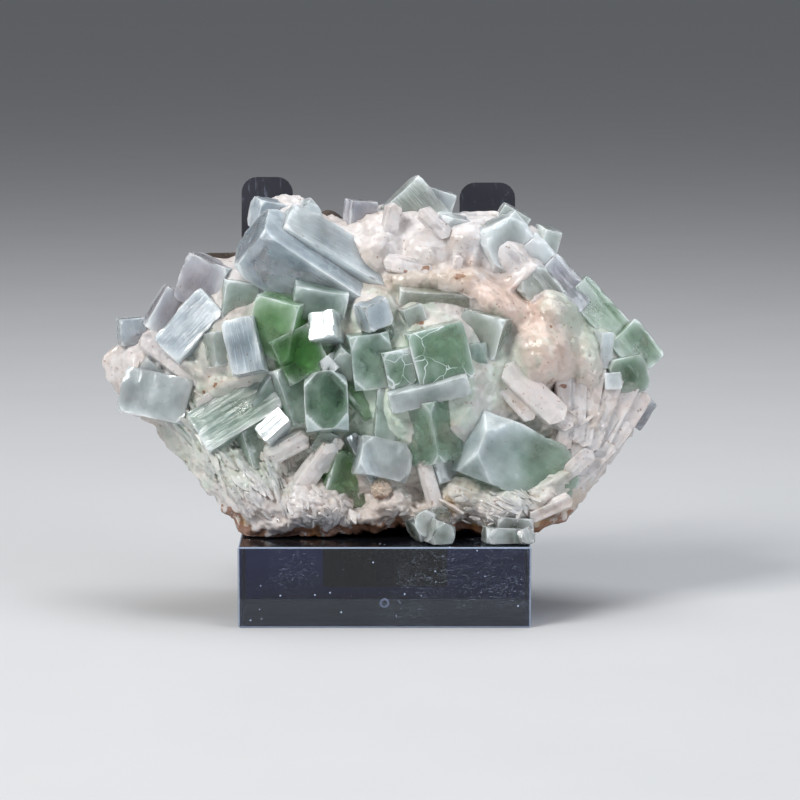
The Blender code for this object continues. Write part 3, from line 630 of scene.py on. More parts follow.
CRYSTALS = {
    "apophyllite_long_prism": [
        Crystal(-12.8, -9.0, 60.4, 9.8, 9.8, 26.0, 57, 17, 59, 1.0, ICE, 0.40, "fading"),
        Crystal(-7.6, -7.6, 63.4, 6.6, 7.0, 25.0, 60, 13, 40, 0.6, PEARL, 0.60, "fading"),
        Crystal(-14.8, -6.0, 70.0, 7.4, 5.0, 5.4, 30, 12, 18, 0.9, PEARL, 0.80, ""),
        Crystal(-20.4, -4.0, 71.2, 5.6, 5.0, 5.4, -14, 10, 25, 0.5, ICE, 0.75, ""),
    ],
    "apophyllite_left_prisms": [
        Crystal(-33.0, -8.0, 51.2, 6.6, 7.0, 12.2, -43, 4, -20, 0.5, ICE, 0.50, "ribbed"),
        Crystal(-25.4, -9.4, 56.2, 6.0, 6.0, 6.8, -8, 6, 12, 0.3, MIST, 0.25, ""),
        Crystal(-28.9, -12.0, 47.6, 3.8, 5.0, 6.2, 8, 0, 30, 0.4, HAZE, 0.20, ""),
    ],
    "apophyllite_lilac_block": [
        Crystal(-31.2, -4.6, 59.4, 8.0, 7.0, 8.6, -20, 8, -14, 0.5, MAUVE, 0.65, ""),
    ],
    "apophyllite_left_edge": [
        Crystal(-37.6, -3.0, 54.2, 6.4, 5.5, 8.0, -30, 4, 14, 0.4, MAUVE, 0.55, ""),
    ],
    "apophyllite_tip_crystal": [
        Crystal(-44.6, -1.2, 51.0, 4.6, 4.4, 4.8, 4, 6, 14, 0.34, ICE, 0.25, ""),
    ],
    "apophyllite_left_corner": [
        Crystal(-39.4, -5.5, 39.4, 12.4, 8.0, 8.2, -13, -4, -10, 0.8, PEARL, 0.55, "pearly"),
        Crystal(-41.6, -4.5, 43.8, 4.2, 5.0, 5.0, -40, 10, 20, 0.34, PEARL, 0.55, ""),
    ],
    "apophyllite_lower_left": [
        Crystal(-25.2, -10.0, 36.6, 8.2, 6.4, 15.4, -58, 4, -16, 0.4, MIST, 0.45, "ribbed"),
        Crystal(-18.8, -13.6, 34.2, 3.4, 3.6, 5.6, -48, 2, -27, 0.2, PEARL, 0.70, "mirror"),
        Crystal(-23.1, -10.6, 30.9, 4.2, 4.6, 7.5, 18, 6, 30, 0.29, MIST, 0.35, ""),
        Crystal(-28.8, -8.6, 31.8, 4.0, 5.0, 7.0, 30, 0, 20, 0.29, MIST, 0.45, ""),
    ],
    "apophyllite_centre_cluster": [
        Crystal(-23.8, -14.4, 48.0, 5.8, 5.8, 9.8, 11, -8, -12, 0.5, ICE, 0.45, "ribbed"),
        Crystal(-18.2, -12.6, 51.7, 8.0, 8.0, 10.4, -12, 14, -16, 0.5, LEAF, 0.30, ""),
        Crystal(-11.5, -11.8, 56.5, 9.4, 7.0, 5.8, -14, 24, 12, 0.42, MIST, 0.50, ""),
        Crystal(-15.2, -13.6, 46.8, 8.0, 7.0, 8.4, 26, 6, 12, 0.5, DEEP, 0.15, ""),
        Crystal(-10.0, -14.8, 51.2, 4.8, 5.2, 5.0, 4, -18, -20, 0.2, PEARL, 0.70, "mirror"),
        Crystal(-8.2, -13.2, 43.7, 5.8, 6.0, 9.0, -38, 10, 20, 0.67, MIST, 0.40, ""),
        Crystal(-1.9, -16.0, 53.7, 4.9, 4.8, 4.8, 16, 16, 24, 0.46, ICE, 0.50, ""),
        Crystal(-2.4, -14.8, 45.8, 7.2, 6.4, 9.6, 8, 8, 6, 1.0, SEA, 0.30, ""),
        Crystal(4.8, -13.0, 53.3, 3.8, 3.4, 3.8, 18, 12, 16, 0.25, HAZE, 0.40, ""),
        Crystal(9.4, -14.8, 46.8, 9.9, 8.2, 10.0, 14, 7, 4, 0.4, BOTTLE, 0.15, "cracked"),
        Crystal(2.2, -16.2, 44.6, 5.2, 5.2, 6.6, 11, 12, 8, 0.5, BOTTLE, 0.05, "cracked"),
        Crystal(7.5, -17.6, 40.3, 14.0, 4.4, 3.4, 13, 18, 4, 0.3, PEARL, 0.40, ""),
        Crystal(8.0, -14.8, 33.6, 8.2, 7.4, 10.8, 10, 6, -43, 0.9, BOTTLE, 0.10, ""),
        Crystal(-0.1, -14.4, 36.3, 4.0, 4.6, 9.6, -3, 4, 14, 0.38, MIST, 0.55, ""),
        Crystal(-10.0, -14.6, 38.4, 7.5, 10.2, 8.0, -3, 82, 6, 1.6, BOTTLE, 0.10, "window"),
        Crystal(-16.1, -13.4, 39.8, 4.8, 4.8, 10.4, 20, 8, 25, 0.55, MIST, 0.35, ""),
        Crystal(-20.2, -11.8, 40.6, 4.0, 4.6, 7.0, -35, 8, 25, 0.34, SEA, 0.30, ""),
        Crystal(-0.6, -14.4, 28.6, 9.2, 6.6, 6.8, -10, -8, 16, 1.0, PEARL, 0.30, ""),
        Crystal(-4.3, -12.6, 28.5, 2.2, 5.0, 9.4, 28, 0, 20, 0.21, PEARL, 0.60, "mirror"),
        Crystal(-6.7, -10.4, 25.4, 9.0, 7.0, 10.0, -18, 6, 24, 0.67, DEEP, 0.10, ""),
        Crystal(-10.6, -13.6, 31.8, 3.6, 3.8, 4.6, -30, 8, 15, 0.3, MIST, 0.20, ""),
        Crystal(-9.2, -15.4, 45.0, 3.0, 3.0, 3.0, 38, -6, -28, 0.2, PEARL, 0.70, "mirror"),
        Crystal(9.5, -13.6, 26.7, 3.8, 3.8, 4.4, 20, 0, 30, 0.25, PEARL, 0.50, ""),
        Crystal(15.4, -13.0, 44.4, 3.6, 4.6, 9.0, 4, 6, 20, 0.25, SEA, 0.35, ""),
        Crystal(17.2, -10.8, 50.3, 8.0, 6.6, 8.0, -14, 12, -18, 0.63, HAZE, 0.45, ""),
        Crystal(-4.1, -9.8, 39.2, 9.0, 7.0, 9.0, -35, 6, 20, 0.5, SEA, 0.30, ""),
        Crystal(-5.6, -12.8, 40.6, 4.6, 5.0, 11.0, 40, 4, 20, 0.4, LEAF, 0.20, ""),
        Crystal(-1.6, -12.6, 50.2, 5.0, 6.0, 6.6, 20, 6, 20, 0.38, SEA, 0.30, ""),
    ],
    "apophyllite_ledge": [
        Crystal(10.0, -7.6, 55.8, 16.0, 8.0, 7.0, -6, 26, 6, 0.5, HONEY, 0.45, ""),
    ],
    "apophyllite_great_block": [
        Crystal(22.2, -9.6, 28.1, 11.8, 11.2, 21.0, 64, 28, 8, 2.4, GREAT, 0.30, "veiled"),
    ],
    "apophyllite_right_prism": [
        Crystal(30.6, -4.2, 58.5, 5.6, 5.8, 10.4, 42, 8, 34, 0.34, MAUVE, 0.50, ""),
    ],
    "apophyllite_right_edge": [
        Crystal(37.4, -2.2, 52.8, 6.2, 6.4, 15.0, 42, 6, 24, 0.4, GREAT, 0.40, ""),
        Crystal(43.0, -2.4, 47.3, 7.0, 7.0, 8.2, 40, 6, 20, 0.4, GREAT, 0.35, ""),
        Crystal(41.8, -4.4, 43.6, 7.0, 6.0, 6.4, 10, 10, 16, 0.7, GREAT, 0.40, ""),
        Crystal(37.8, -7.2, 47.6, 2.6, 3.4, 6.4, -3, 4, 30, 0.2, PEARL, 0.60, ""),
        Crystal(39.5, -7.8, 42.4, 3.1, 3.2, 3.1, 3, 8, 8, 0.2, PEARL, 0.65, ""),
    ],
    "apophyllite_right_chip": [
        Crystal(44.3, -1.4, 37.3, 4.0, 4.4, 5.6, -34, 6, 20, 0.25, MAUVE, 0.60, ""),
    ],
    "apophyllite_top_blade": [
        Crystal(5.6, -2.8, 71.9, 8.2, 5.0, 9.6, 41, 10, 10, 0.4, HAZE, 0.60, "ribbed"),
        Crystal(9.3, -2.2, 73.7, 5.4, 3.2, 4.2, -18, 8, 10, 0.25, PEARL, 0.50, ""),
    ],
    "apophyllite_top_prism": [
        Crystal(-4.5, -2.4, 70.3, 4.8, 4.6, 7.4, -6, 6, 20, 0.21, MAUVE, 0.55, ""),
    ],
    "apophyllite_top_ledge": [
        Crystal(22.4, -0.6, 70.9, 5.4, 4.0, 3.4, -32, 8, 10, 0.21, HAZE, 0.60, ""),
    ],
    "apophyllite_top_right": [
        Crystal(20.6, -6.2, 66.0, 9.4, 6.0, 9.0, 24, 14, 24, 1.6, SNOWY, 0.85, ""),
        Crystal(26.0, -4.8, 62.6, 7.4, 5.0, 8.6, 34, 14, 20, 1.4, SNOWY, 0.80, ""),
        Crystal(11.4, -5.4, 67.6, 6.4, 5.0, 7.4, -16, 12, 30, 1.0, SNOWY, 0.80, ""),
        Crystal(27.0, -6.4, 57.6, 6.4, 5.0, 8.4, 40, 12, 14, 0.8, HAZE, 0.60, ""),
        Crystal(28.2, -1.0, 66.5, 3.2, 5.6, 5.4, -16, 8, 20, 0.21, HAZE, 0.60, ""),
    ],
    "apophyllite_bottom_left": [
        Crystal(8.0, -14.4, 18.2, 5.2, 6.0, 4.6, 14, 6, 20, 0.5, HAZE, 0.15, ""),
        Crystal(6.6, -16.8, 17.3, 4.4, 5.0, 4.6, 30, 0, 20, 0.8, HAZE, 0.15, ""),
        Crystal(9.3, -18.8, 16.0, 4.0, 4.0, 4.4, -24, 0, 25, 0.8, HAZE, 0.25, ""),
    ],
    "apophyllite_bottom_right": [
        Crystal(21.8, -14.2, 16.8, 6.4, 5.6, 4.4, -8, 6, 14, 0.5, HAZE, 0.15, ""),
        Crystal(21.1, -17.4, 15.3, 8.4, 5.0, 3.6, -3, 0, 10, 0.9, HAZE, 0.15, ""),
        Crystal(23.8, -18.4, 15.3, 3.2, 3.4, 3.4, 20, 0, 30, 0.8, HAZE, 0.10, ""),
    ],
}
print("crystals:", sum(len(items) for items in CRYSTALS.values()))

# %% [markdown]
# Each group becomes one mesh, in place of its solid. A crystal's tint picks the finish for its
# body, pale green if nothing else is given. Bends sharper than a small angle are shaded as
# edges, or the faces would look blown up.

# %% Put the crystals in their places
FACET_CREASE = np.radians(17)
FINISH_OF_TINT = {
    LEAF: LEAF_GREEN, DEEP: LEAF_GREEN, BOTTLE: BOTTLE_GREEN, ICE: ICE_BLUE, PEARL: ICE_BLUE,
    MAUVE: LILAC,
}
SEEDS_PER_GROUP = 100

for number, (group, items) in enumerate(CRYSTALS.items()):
    finishes = [FINISH_OF_TINT.get(item.tint, PALE_GREEN) for item in items]
    forms = [
        crystal_form(item, SEEDS_PER_GROUP * number + k, CRYSTAL_FINISHES.index(finish))
        for k, (item, finish) in enumerate(zip(items, finishes))
    ]
    cluster = make_piece(group + "_look", join_parts(forms), CRYSTAL_FINISHES, FACET_CREASE)
    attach(cluster, "root")
    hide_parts(group)
    print(cluster.name, len(cluster.data.polygons), "faces")

# %% [markdown]
# ## Stilbite
# The pale crust is stilbite: rounded masses and bundles of laths, grown over the rock like
# icing. It could be carved from one block, but the real thing is many growths that run into
# each other. So its body is a pillow drawn out to the specimen's outline, whose front is the
# blend of many forms, and laths and fans of blades are set into it as pieces of their own.

# %% The crust's outline
MIDDLE = np.array([-1.0, 44.0])
SEAM = 4.0
SOFTENING = (-1.5, -0.5, 0.5, 1.5)
OUTLINE = np.array([
    (-49.6, 46.2), (-47.0, 48.8), (-41.4, 52.0), (-38.8, 56.0), (-35.8, 58.2),
    (-34.6, 62.8), (-31.6, 64.4), (-27.4, 63.8), (-23.8, 66.8), (-22.2, 72.0),
    (-19.2, 74.6), (-14.0, 74.6), (-12.0, 71.6), (-6.8, 70.6), (-2.2, 72.6),
    (2.0, 73.6), (6.2, 75.2), (9.8, 73.6), (10.8, 71.8), (14.8, 71.6),
    (20.6, 72.0), (24.8, 70.0), (28.4, 66.8), (30.4, 62.8), (35.0, 59.2),
    (38.2, 56.0), (42.8, 52.4), (46.4, 48.4), (47.0, 45.2), (45.4, 41.6),
    (46.4, 39.0), (43.2, 33.4), (39.8, 29.2), (37.6, 25.2), (35.4, 22.2),
    (33.2, 20.6), (32.2, 18.2), (27.6, 16.4), (23.2, 15.2), (18.2, 15.4),
    (13.0, 16.4), (8.0, 15.6), (3.0, 16.8), (-6.6, 16.0), (-13.2, 15.6),
    (-17.2, 14.8), (-23.2, 14.6), (-25.4, 16.6), (-28.4, 20.4), (-32.0, 24.6),
    (-35.4, 28.8), (-38.6, 32.4), (-41.4, 35.4), (-46.4, 39.0), (-48.6, 42.6),
])


def crossed(first, second):
    """The cross product of vectors in the picture plane."""
    return first[..., 0] * second[..., 1] - first[..., 1] * second[..., 0]


def outline_reach(angle):
    """Distance from the middle to the outline: where the ray crosses each edge's line, kept
    if it lies on the edge."""
    ahead = np.stack([np.cos(angle), np.sin(angle)], axis=-1)[:, None]
    start = (OUTLINE - MIDDLE)[None]
    along = np.roll(start, -1, axis=1) - start
    turned = crossed(ahead, along)
    turned = np.where(np.abs(turned) < 1e-9, 1e-9, turned)
    reach = crossed(start, along) / turned
    share = crossed(start, ahead) / turned
    on_edge = (reach > 0) & (share >= -1e-6) & (share <= 1 + 1e-6)
    return np.where(on_edge, reach, 0).max(axis=1)


def pillow(steps, front_part, facing=-1):
    """Angle round the middle and share of the way to the rim, from a ball's directions. The
    polar angle from the side that the pillow faces is used up to front_part for its face, and
    the rest for its sides and back. The second share runs from 0 at the rim to 1 at the
    middle of the back."""
    ways, quads = ball_grid(steps)
    polar = np.arccos(np.clip(facing * ways[:, 1], -1, 1)) / np.pi
    angle = np.arctan2(ways[:, 2], ways[:, 0])
    share = np.minimum(polar / front_part, 1)
    behind = np.maximum(polar - front_part, 0) / (1 - front_part)
    return angle, share, behind, quads


def smooth_reach(angle):
    """The outline with its corners softened: the mean over a few nearby angles."""
    return np.mean([outline_reach(angle + shift) for shift in np.radians(SOFTENING)], axis=0)


def around(x, z):
    """The angle of a place round the middle, and its share of the way to the outline."""
    angle = np.arctan2(z - MIDDLE[1], x - MIDDLE[0])
    return angle, np.hypot(x - MIDDLE[0], z - MIDDLE[1]) / smooth_reach(angle)


print("reach to the right and up:", outline_reach(np.array([0.0, np.pi / 2])).round(1))

# %% [markdown]
# Up close the crust is faceted: it is covered by crystals, from large plates to fine sugar.
# Each cell of a lattice holds one grain, a box with its own turn, and the highest grain wins
# at each point. The same function makes plates with a large size and sugar with a small one.

# %% Grains


def grains(points, size, seed=0):
    """Height of a bed of grains, in units of their size: over the 27 lattice cells round a
    point, the largest of (grain's radius - distance to its middle), where the distance is the
    largest of three coordinates in the grain's own turned axes."""
    cell = np.floor(points / size)
    best = np.full(len(points), -9.0)
    for step in np.ndindex(3, 3, 3):
        near = cell + step - 1
        shift = np.stack([lattice_random(near, seed + k) for k in range(3)], axis=-1)
        away = points / size - near - 0.15 - 0.7 * shift
        first = np.stack([lattice_random(near, seed + 3 + k) - 0.5 for k in range(3)], axis=-1)
        first /= np.linalg.norm(first, axis=1, keepdims=True) + 1e-9
        second = np.cross(first, shift - 0.5)
        second /= np.linalg.norm(second, axis=1, keepdims=True) + 1e-9
        third = np.cross(first, second)
        ahead = [
            np.abs((away * axis).sum(axis=1)) * narrower
            for axis, narrower in ((first, 0.6), (second, 1.0), (third, 1.3))
        ]
        best = np.maximum(best, 0.95 - np.maximum.reduce(ahead))
    return best


print("grain heights:", grains(np.random.default_rng(1).random((200, 3)) * 9, 1.0).round(2)[:4])

# %% [markdown]
# The crust's forms run into each other like wax: rounded lumps, ridges where laths lie buried,
# and skirts that climb up round the foot of each crystal. Separate balls would look like clay,
# so each form is a depth above the picture plane, and all of them are blended into one front.

# %% The forms in the crust
Lump = namedtuple("Lump", "x y z wide deep tall turn")
Ridge = namedtuple("Ridge", "x y z wide tall turn")

LUMPS = [
    Lump(27.0, -10.5, 47.0, 6.4, 6.0, 6.6, 0), Lump(28.6, -8.0, 53.2, 5.4, 5.0, 5.0, -20),
    Lump(19.0, -9.0, 55.6, 8.5, 5.0, 3.6, -30), Lump(13.0, -9.0, 59.4, 7.0, 4.6, 3.4, -12),
    Lump(21.0, -5.0, 64.5, 8.0, 5.0, 7.0, -15), Lump(27.4, -4.0, 60.5, 6.0, 4.6, 6.0, -40),
    Lump(7.5, -6.0, 64.0, 6.4, 5.0, 6.0, 10), Lump(14.0, -6.5, 67.0, 4.6, 4.4, 6.0, -4),
    Lump(-1.0, -6.5, 64.5, 5.4, 4.6, 5.6, 0), Lump(4.6, -7.6, 59.6, 7.4, 4.4, 3.4, 4),
    Lump(-17.0, -3.0, 71.0, 6.4, 4.0, 4.4, -12), Lump(-43.5, -2.5, 44.4, 5.4, 4.0, 4.8, 25),
    Lump(-40.0, -3.0, 48.6, 5.0, 4.0, 3.6, -35), Lump(-33.0, -7.0, 44.4, 7.6, 4.5, 2.2, -32),
    Lump(-27.5, -8.5, 41.6, 6.0, 5.0, 3.4, 25), Lump(-22.5, -11.5, 21.5, 7.5, 5.0, 5.6, -30),
    Lump(-12.5, -13.0, 20.5, 7.0, 4.6, 5.0, 0), Lump(-28.0, -8.0, 28.0, 5.4, 4.8, 7.0, 35),
    Lump(20.0, -12.5, 20.5, 6.5, 5.0, 4.6, 6), Lump(27.4, -11.0, 21.0, 5.0, 4.6, 4.0, 20),
    Lump(32.4, -8.0, 22.6, 4.0, 4.4, 3.6, 40), Lump(13.0, -12.5, 22.0, 5.0, 4.6, 5.4, 0),
    Lump(1.5, -12.5, 20.5, 4.6, 4.0, 4.0, 0), Lump(35.5, -6.0, 34.0, 5.5, 4.4, 8.0, -35),
    Lump(34.6, -7.0, 45.4, 4.0, 4.0, 6.4, 6), Lump(-34.0, -6.0, 35.0, 5.0, 4.0, 4.4, 40),
    Lump(-4.0, -13.0, 17.8, 4.4, 3.6, 2.2, 0), Lump(-19.0, -12.6, 17.0, 5.4, 3.6, 2.2, 0),
]
RIDGES = [
    Ridge(24.6, -13.0, 40.4, 3.0, 9.5, 46), Ridge(21.8, -12.6, 42.4, 2.2, 8.0, 30),
    Ridge(28.4, -12.2, 37.6, 2.4, 7.0, 60), Ridge(30.4, -10.6, 40.0, 1.6, 6.0, 10),
    Ridge(33.0, -10.0, 38.6, 1.5, 7.5, -2), Ridge(35.4, -9.2, 38.0, 1.5, 7.5, -10),
    Ridge(37.6, -8.4, 37.2, 1.5, 7.5, -18), Ridge(39.6, -7.2, 35.6, 1.5, 7.0, -26),
    Ridge(40.6, -6.2, 33.0, 1.4, 6.4, -36), Ridge(38.6, -7.0, 30.6, 1.5, 6.4, -46),
    Ridge(36.0, -8.2, 28.4, 1.5, 6.0, -58), Ridge(33.0, -9.6, 26.2, 1.5, 6.0, -66),
    Ridge(-30.5, -8.4, 31.0, 1.8, 6.0, 38), Ridge(-33.6, -7.0, 33.0, 1.6, 5.4, 42),
    Ridge(12.4, -10.2, 64.6, 1.3, 6.5, 8), Ridge(15.4, -10.0, 63.0, 1.3, 5.5, -14),
    Ridge(24.5, -10.2, 60.4, 2.0, 6.0, -52), Ridge(-24.0, -14.0, 26.0, 1.5, 6.0, 30),
    Ridge(-19.0, -15.2, 24.0, 1.5, 6.0, 18), Ridge(28.0, -13.6, 24.5, 1.5, 6.0, -66),
    Ridge(14.0, -11.4, 57.6, 1.6, 7.0, 66), Ridge(21.0, -11.4, 53.2, 1.6, 5.0, 54),
    Ridge(-36.4, -7.4, 44.8, 1.3, 5.0, 58), Ridge(-31.0, -8.6, 42.4, 1.3, 5.0, 64),
]
BLEND = 0.6


def turned_into(x, z, item):
    """Places across and along an item that is turned in the picture plane."""
    angle = np.radians(item.turn)
    right, up = x - item.x, z - item.z
    return right * np.cos(angle) + up * np.sin(angle), up * np.cos(angle) - right * np.sin(angle)


def lump_depth(x, z, item):
    """A bowl upside down: the middle's depth less deep * (1 - r^2), with r from its sizes."""
    across, along = turned_into(x, z, item)
    r = np.hypot(across / item.wide, along / item.tall)
    return item.y - item.deep * (1 - r**2) + np.maximum(r - 1, 0) * 3


def ridge_depth(x, z, item):
    """A long roof: depth grows with the distance from its line, and at its ends."""
    across, along = turned_into(x, z, item)
    past = np.maximum(np.abs(along) / item.tall - 0.7, 0) * 9
    return item.y + np.abs(across) / item.wide * 2.4 + past


def skirt_depth(x, z, item):
    """Flat behind a crystal, at the depth of its middle, and a cone that falls off round it."""
    reach = 0.62 * max(item.wide, item.tall, item.deep if item.tip > 60 else 0)
    r = np.hypot(x - item.x, z - item.z) / reach
    return item.y + 0.5 + np.maximum(r - 0.85, 0) * 6.0


def blended_front(depths):
    """The nearest of many depths, rounded off where they meet: -k log(sum(exp(-depth / k)))."""
    nearest = depths.min(axis=0)
    return nearest - BLEND * np.log(np.exp(-(depths - nearest) / BLEND).sum(axis=0))


print("forms in the crust:", len(LUMPS) + len(RIDGES))

# %% [markdown]
# The crust's colours follow its growth: white to blue-white on top, peach where iron has
# stained it, green where apophyllite starts under it, and brown along its foot. They are soft
# spots, listed one by one, each with its middle, its reach and its colour, laid over one another.

# %% The crust's colours
SNOW = (0.76, 0.73, 0.73)
CREAM = (0.70, 0.62, 0.57)
PEACH = (0.72, 0.55, 0.47)
TAN = (0.52, 0.41, 0.31)
MOSS = (0.52, 0.64, 0.54)
RUST = (0.26, 0.10, 0.035)
OCHRE = (0.50, 0.30, 0.08)
# Near black: the colour of small soot specks, and of the painted shade under the crust's foot.
SOOT_AND_SHADE = (0.035, 0.025, 0.022)

Spot = namedtuple("Spot", "x z wide tall turn strength colour")
SPOTS = [
    Spot(21, 66, 13, 9, -15, 0.9, SNOW), Spot(5, 65, 9, 6, 0, 0.6, SNOW),
    Spot(-17, 71, 8, 5, 0, 0.8, SNOW), Spot(-42, 45, 10, 9, 0, 0.9, SNOW),
    Spot(-31, 48, 8, 7, 0, 0.5, MOSS),
    Spot(29, 47, 7, 8, 0, 0.85, PEACH), Spot(22, 55, 14, 5, -28, 0.9, PEACH),
    Spot(5, 59.6, 14, 2.6, 4, 0.55, TAN), Spot(24, 40, 6, 5, 40, 0.6, PEACH),
    Spot(-6, 61, 8, 4, 10, 0.6, CREAM),
    Spot(34, 36, 12, 14, -30, 0.55, CREAM), Spot(-28, 42, 10, 5, 25, 0.7, CREAM),
    Spot(-22, 22, 16, 9, 0, 0.7, SNOW), Spot(-4, 42, 26, 16, 0, 0.9, MOSS),
    Spot(-30, 32, 14, 9, -35, 0.65, MOSS), Spot(36, 52, 7, 9, 40, 0.7, MOSS),
    Spot(20, 26, 16, 6, 0, 0.45, MOSS), Spot(20, 45, 6, 10, 20, 0.5, MOSS),
    Spot(30.2, 41.2, 1.9, 0.9, 12, 1.0, RUST), Spot(-9, 59.3, 3.4, 1.4, 25, 0.85, RUST),
    Spot(5, 61.6, 5.5, 0.7, 5, 0.8, RUST), Spot(12.5, 60.2, 1.6, 0.8, 0, 0.9, RUST),
    Spot(-29, 41.5, 5, 0.5, 28, 0.8, RUST), Spot(-21.5, 41.0, 1.0, 0.5, 0, 0.8, SOOT_AND_SHADE),
    Spot(28.8, 51.6, 0.7, 0.5, 0, 1.0, SOOT_AND_SHADE), Spot(17.5, 66.8, 0.8, 0.5, 0, 1.0, SOOT_AND_SHADE),
    Spot(32.5, 50.4, 0.5, 0.4, 0, 1.0, SOOT_AND_SHADE), Spot(6.0, 52.4, 2.0, 0.8, 0, 0.8, RUST),
    Spot(11.4, 20.4, 0.9, 2.2, 20, 0.8, OCHRE), Spot(31, 20.5, 6, 1.6, 30, 0.7, TAN),
]


def spotted(points, tint):
    """Lays each spot over the tint: its mask is a smooth step of one minus the distance from
    its middle, measured in its own reaches and made ragged by noise. Rust and soot are kept
    apart as a stain, which the finish breaks up into specks."""
    ragged = rough(points, 2.4, 4, 50) * 0.55
    stain = np.zeros(len(points))
    for spot in SPOTS:
        across, along = turned_into(points[:, 0], points[:, 2], spot)
        mask = np.clip(1.25 - np.hypot(across / spot.wide, along / spot.tall) + ragged, 0, 1)
        mask = mask * mask * (3 - 2 * mask) * spot.strength
        if spot.colour in (RUST, SOOT_AND_SHADE):
            stain = np.maximum(stain, mask)
        else:
            tint = mixed(tint, spot.colour, mask)
    return mixed(tint, TAN, stain * 0.5), stain


def stilbite_values(points, height, sugar):
    """Values at each point: its tint, browner in the hollows as painted shade, its height,
    sugar and stain.
    """
    mottle = rough(points, 9.0, 4, 40) * 0.9 + 0.5
    tint = mixed(np.tile(np.array(CREAM), (len(points), 1)), SNOW, mottle)
    tint, stain = spotted(points, tint)
    # Painted shade: the lower a point lies in a hollow, the more its tint goes to tan.
    tint = mixed(tint, TAN, -height * 0.9 - 0.1)
    raised = np.clip(height * 0.5 + 0.5, 0, 1)
    return {"tint": tint, "raised": raised, "sugar": sugar, "stain": stain}


print("colour spots:", len(SPOTS))

# %% [markdown]
# The main mass is a pillow whose front is the blend of all those forms. It falls back to the
# rim, except at the foot, where it stays thick. Its sides run back to the seam with the
# basalt. Its foot is rimmed by a brown line, and its underside is tinted near black: painted
# shade, where no light falls.

# %% The crust's main mass
PIT = Lump(30.0, 0, 41.0, 1.6, 4.5, 1.0, 0)
CRUST_FRONT = -10.5
CRUST_STEPS = 127
FRONT_PART = 0.76
PLATE_SIZE, SUGAR_SIZE = 3.6, 1.3
STAIN_TOP = 20.5
SUGARY = [(-24, 24, 16, 12), (36, 30, 12, 14), (-42, 44, 8, 8), (2, 20, 40, 7), (-17, 71, 9, 5)]


def sugar_share(points):
    """From 0 on the waxy lumps to 1 where the crust is fine-grained: soft patches, listed one by
    one.
    """
    share = np.zeros(len(points))
    for x, z, wide, tall in SUGARY:
        r = np.hypot((points[:, 0] - x) / wide, (points[:, 2] - z) / tall)
        share = np.maximum(share, np.clip(1.5 - r + rough(points, 5.0, 3, 90) * 0.5, 0, 1))
    return share


def crust_depth(x, z, angle, share):
    """Depth of the crust's front and of its rim. The rim lies far back except at the foot, and
    the blend of all forms is drawn back to it over the last fifth of the way."""
    foot = np.clip(-1.35 * np.sin(angle) - 0.12, 0, 1) ** 1.5
    rim = -1.0 - 12.0 * foot
    base = CRUST_FRONT + (rim - CRUST_FRONT) * share**3.2
    depths = [base] + [lump_depth(x, z, item) for item in LUMPS]
    depths += [ridge_depth(x, z, item) for item in RIDGES]
    depths += [skirt_depth(x, z, item) for items in CRYSTALS.values() for item in items]
    front = blended_front(np.stack(depths)) + PIT.deep * np.exp(
        -(((x - PIT.x) / PIT.wide) ** 2) - ((z - PIT.z) / PIT.tall) ** 2
    )
    return front + (rim - front) * np.clip((share - 0.82) / 0.18, 0, 1) ** 2.2, rim


def crust_mass():
    """The mass: a point for each angle and share of the way out, at the depth of the crust,
    moved out of the surface by plates and sugar, and coloured by its place."""
    angle, share, behind, quads = pillow(CRUST_STEPS, FRONT_PART)
    inward = np.clip(1 - (behind - 0.5) * 2, 0, 1)
    on_rim = np.stack([np.cos(angle), np.full_like(angle, 3.3), np.sin(angle)], axis=-1) * 40
    ragged = rough(on_rim, 3.2, 3, 78) * 1.3 * share**6
    across = (smooth_reach(angle) + ragged) * share * inward
    x = MIDDLE[0] + across * np.cos(angle)
    z = MIDDLE[1] + across * np.sin(angle)
    front, rim = crust_depth(x, z, angle, share)
    seam = SEAM + 0.6 + 1.5 * rough(on_rim, 4.5, 3, 79)
    y = np.where(behind > 0, rim + (seam - rim) * np.clip(behind * 2, 0, 1), front)
    points = np.stack([x, y, z], axis=-1)
    normals = outward_of(points, quads)
    sugar = sugar_share(points)
    plates = grains(points, PLATE_SIZE, 71) * 1.5 - 0.8
    sugary = grains(points, SUGAR_SIZE, 72) * 1.1 - 0.7
    height = plates * (0.45 + 0.3 * sugar) + sugary * (0.12 + 0.88 * sugar)
    height = height + 0.3 * rough(points, 5.0, 4, 70)
    height = height * np.clip((seam - 0.3 - y) / 1.5, 0, 1)
    points = points + normals * height[:, None]
    points[:, 1] = np.minimum(points[:, 1], seam)
    values = stilbite_values(points, height, sugar)
    low = np.clip((STAIN_TOP - points[:, 2] + 1.6 * rough(points, 2.2, 4, 75)) / 2.0, 0, 1)
    line = low * np.clip((share - 0.93) / 0.03, 0, 1)
    # Painted shade: points that face down near the foot are tinted near black, where no light
    # falls.
    under = np.clip(-normals[:, 2] * 1.6 - 0.5, 0, 1) * np.clip((22 - points[:, 2]) / 3, 0, 1)
    rusty = line * np.clip(noise(points, 3.0, 76) * 2 - 0.4, 0, 1)
    shaded = under * np.clip((-12.0 < points[:, 1]) + 0.4, 0, 1)
    values["stain"] = np.maximum(values["stain"], line * 1.3)
    values["tint"] = mixed(mixed(values["tint"], OCHRE, rusty), SOOT_AND_SHADE, shaded)
    return resting(points), quads, values


mass = crust_mass()
print("crust mass:", len(mass[1]), "faces, box:", mass[0].min(0).round(4), mass[0].max(0).round(4))

# %% [markdown]
# Stilbite grows as thin blades with roof-shaped ends, side by side in fans. Hundreds of them
# break the crust's skin. One blade is a grid of 54 faces, and each fan is that grid scaled,
# turned and placed many times as one array. Each blade lies in the skin's own slope, its end
# a little raised, and points along its fan's direction.

# %% Fans of blades
Fan = namedtuple("Fan", "x z wide tall turn spread count long broad raise_by")

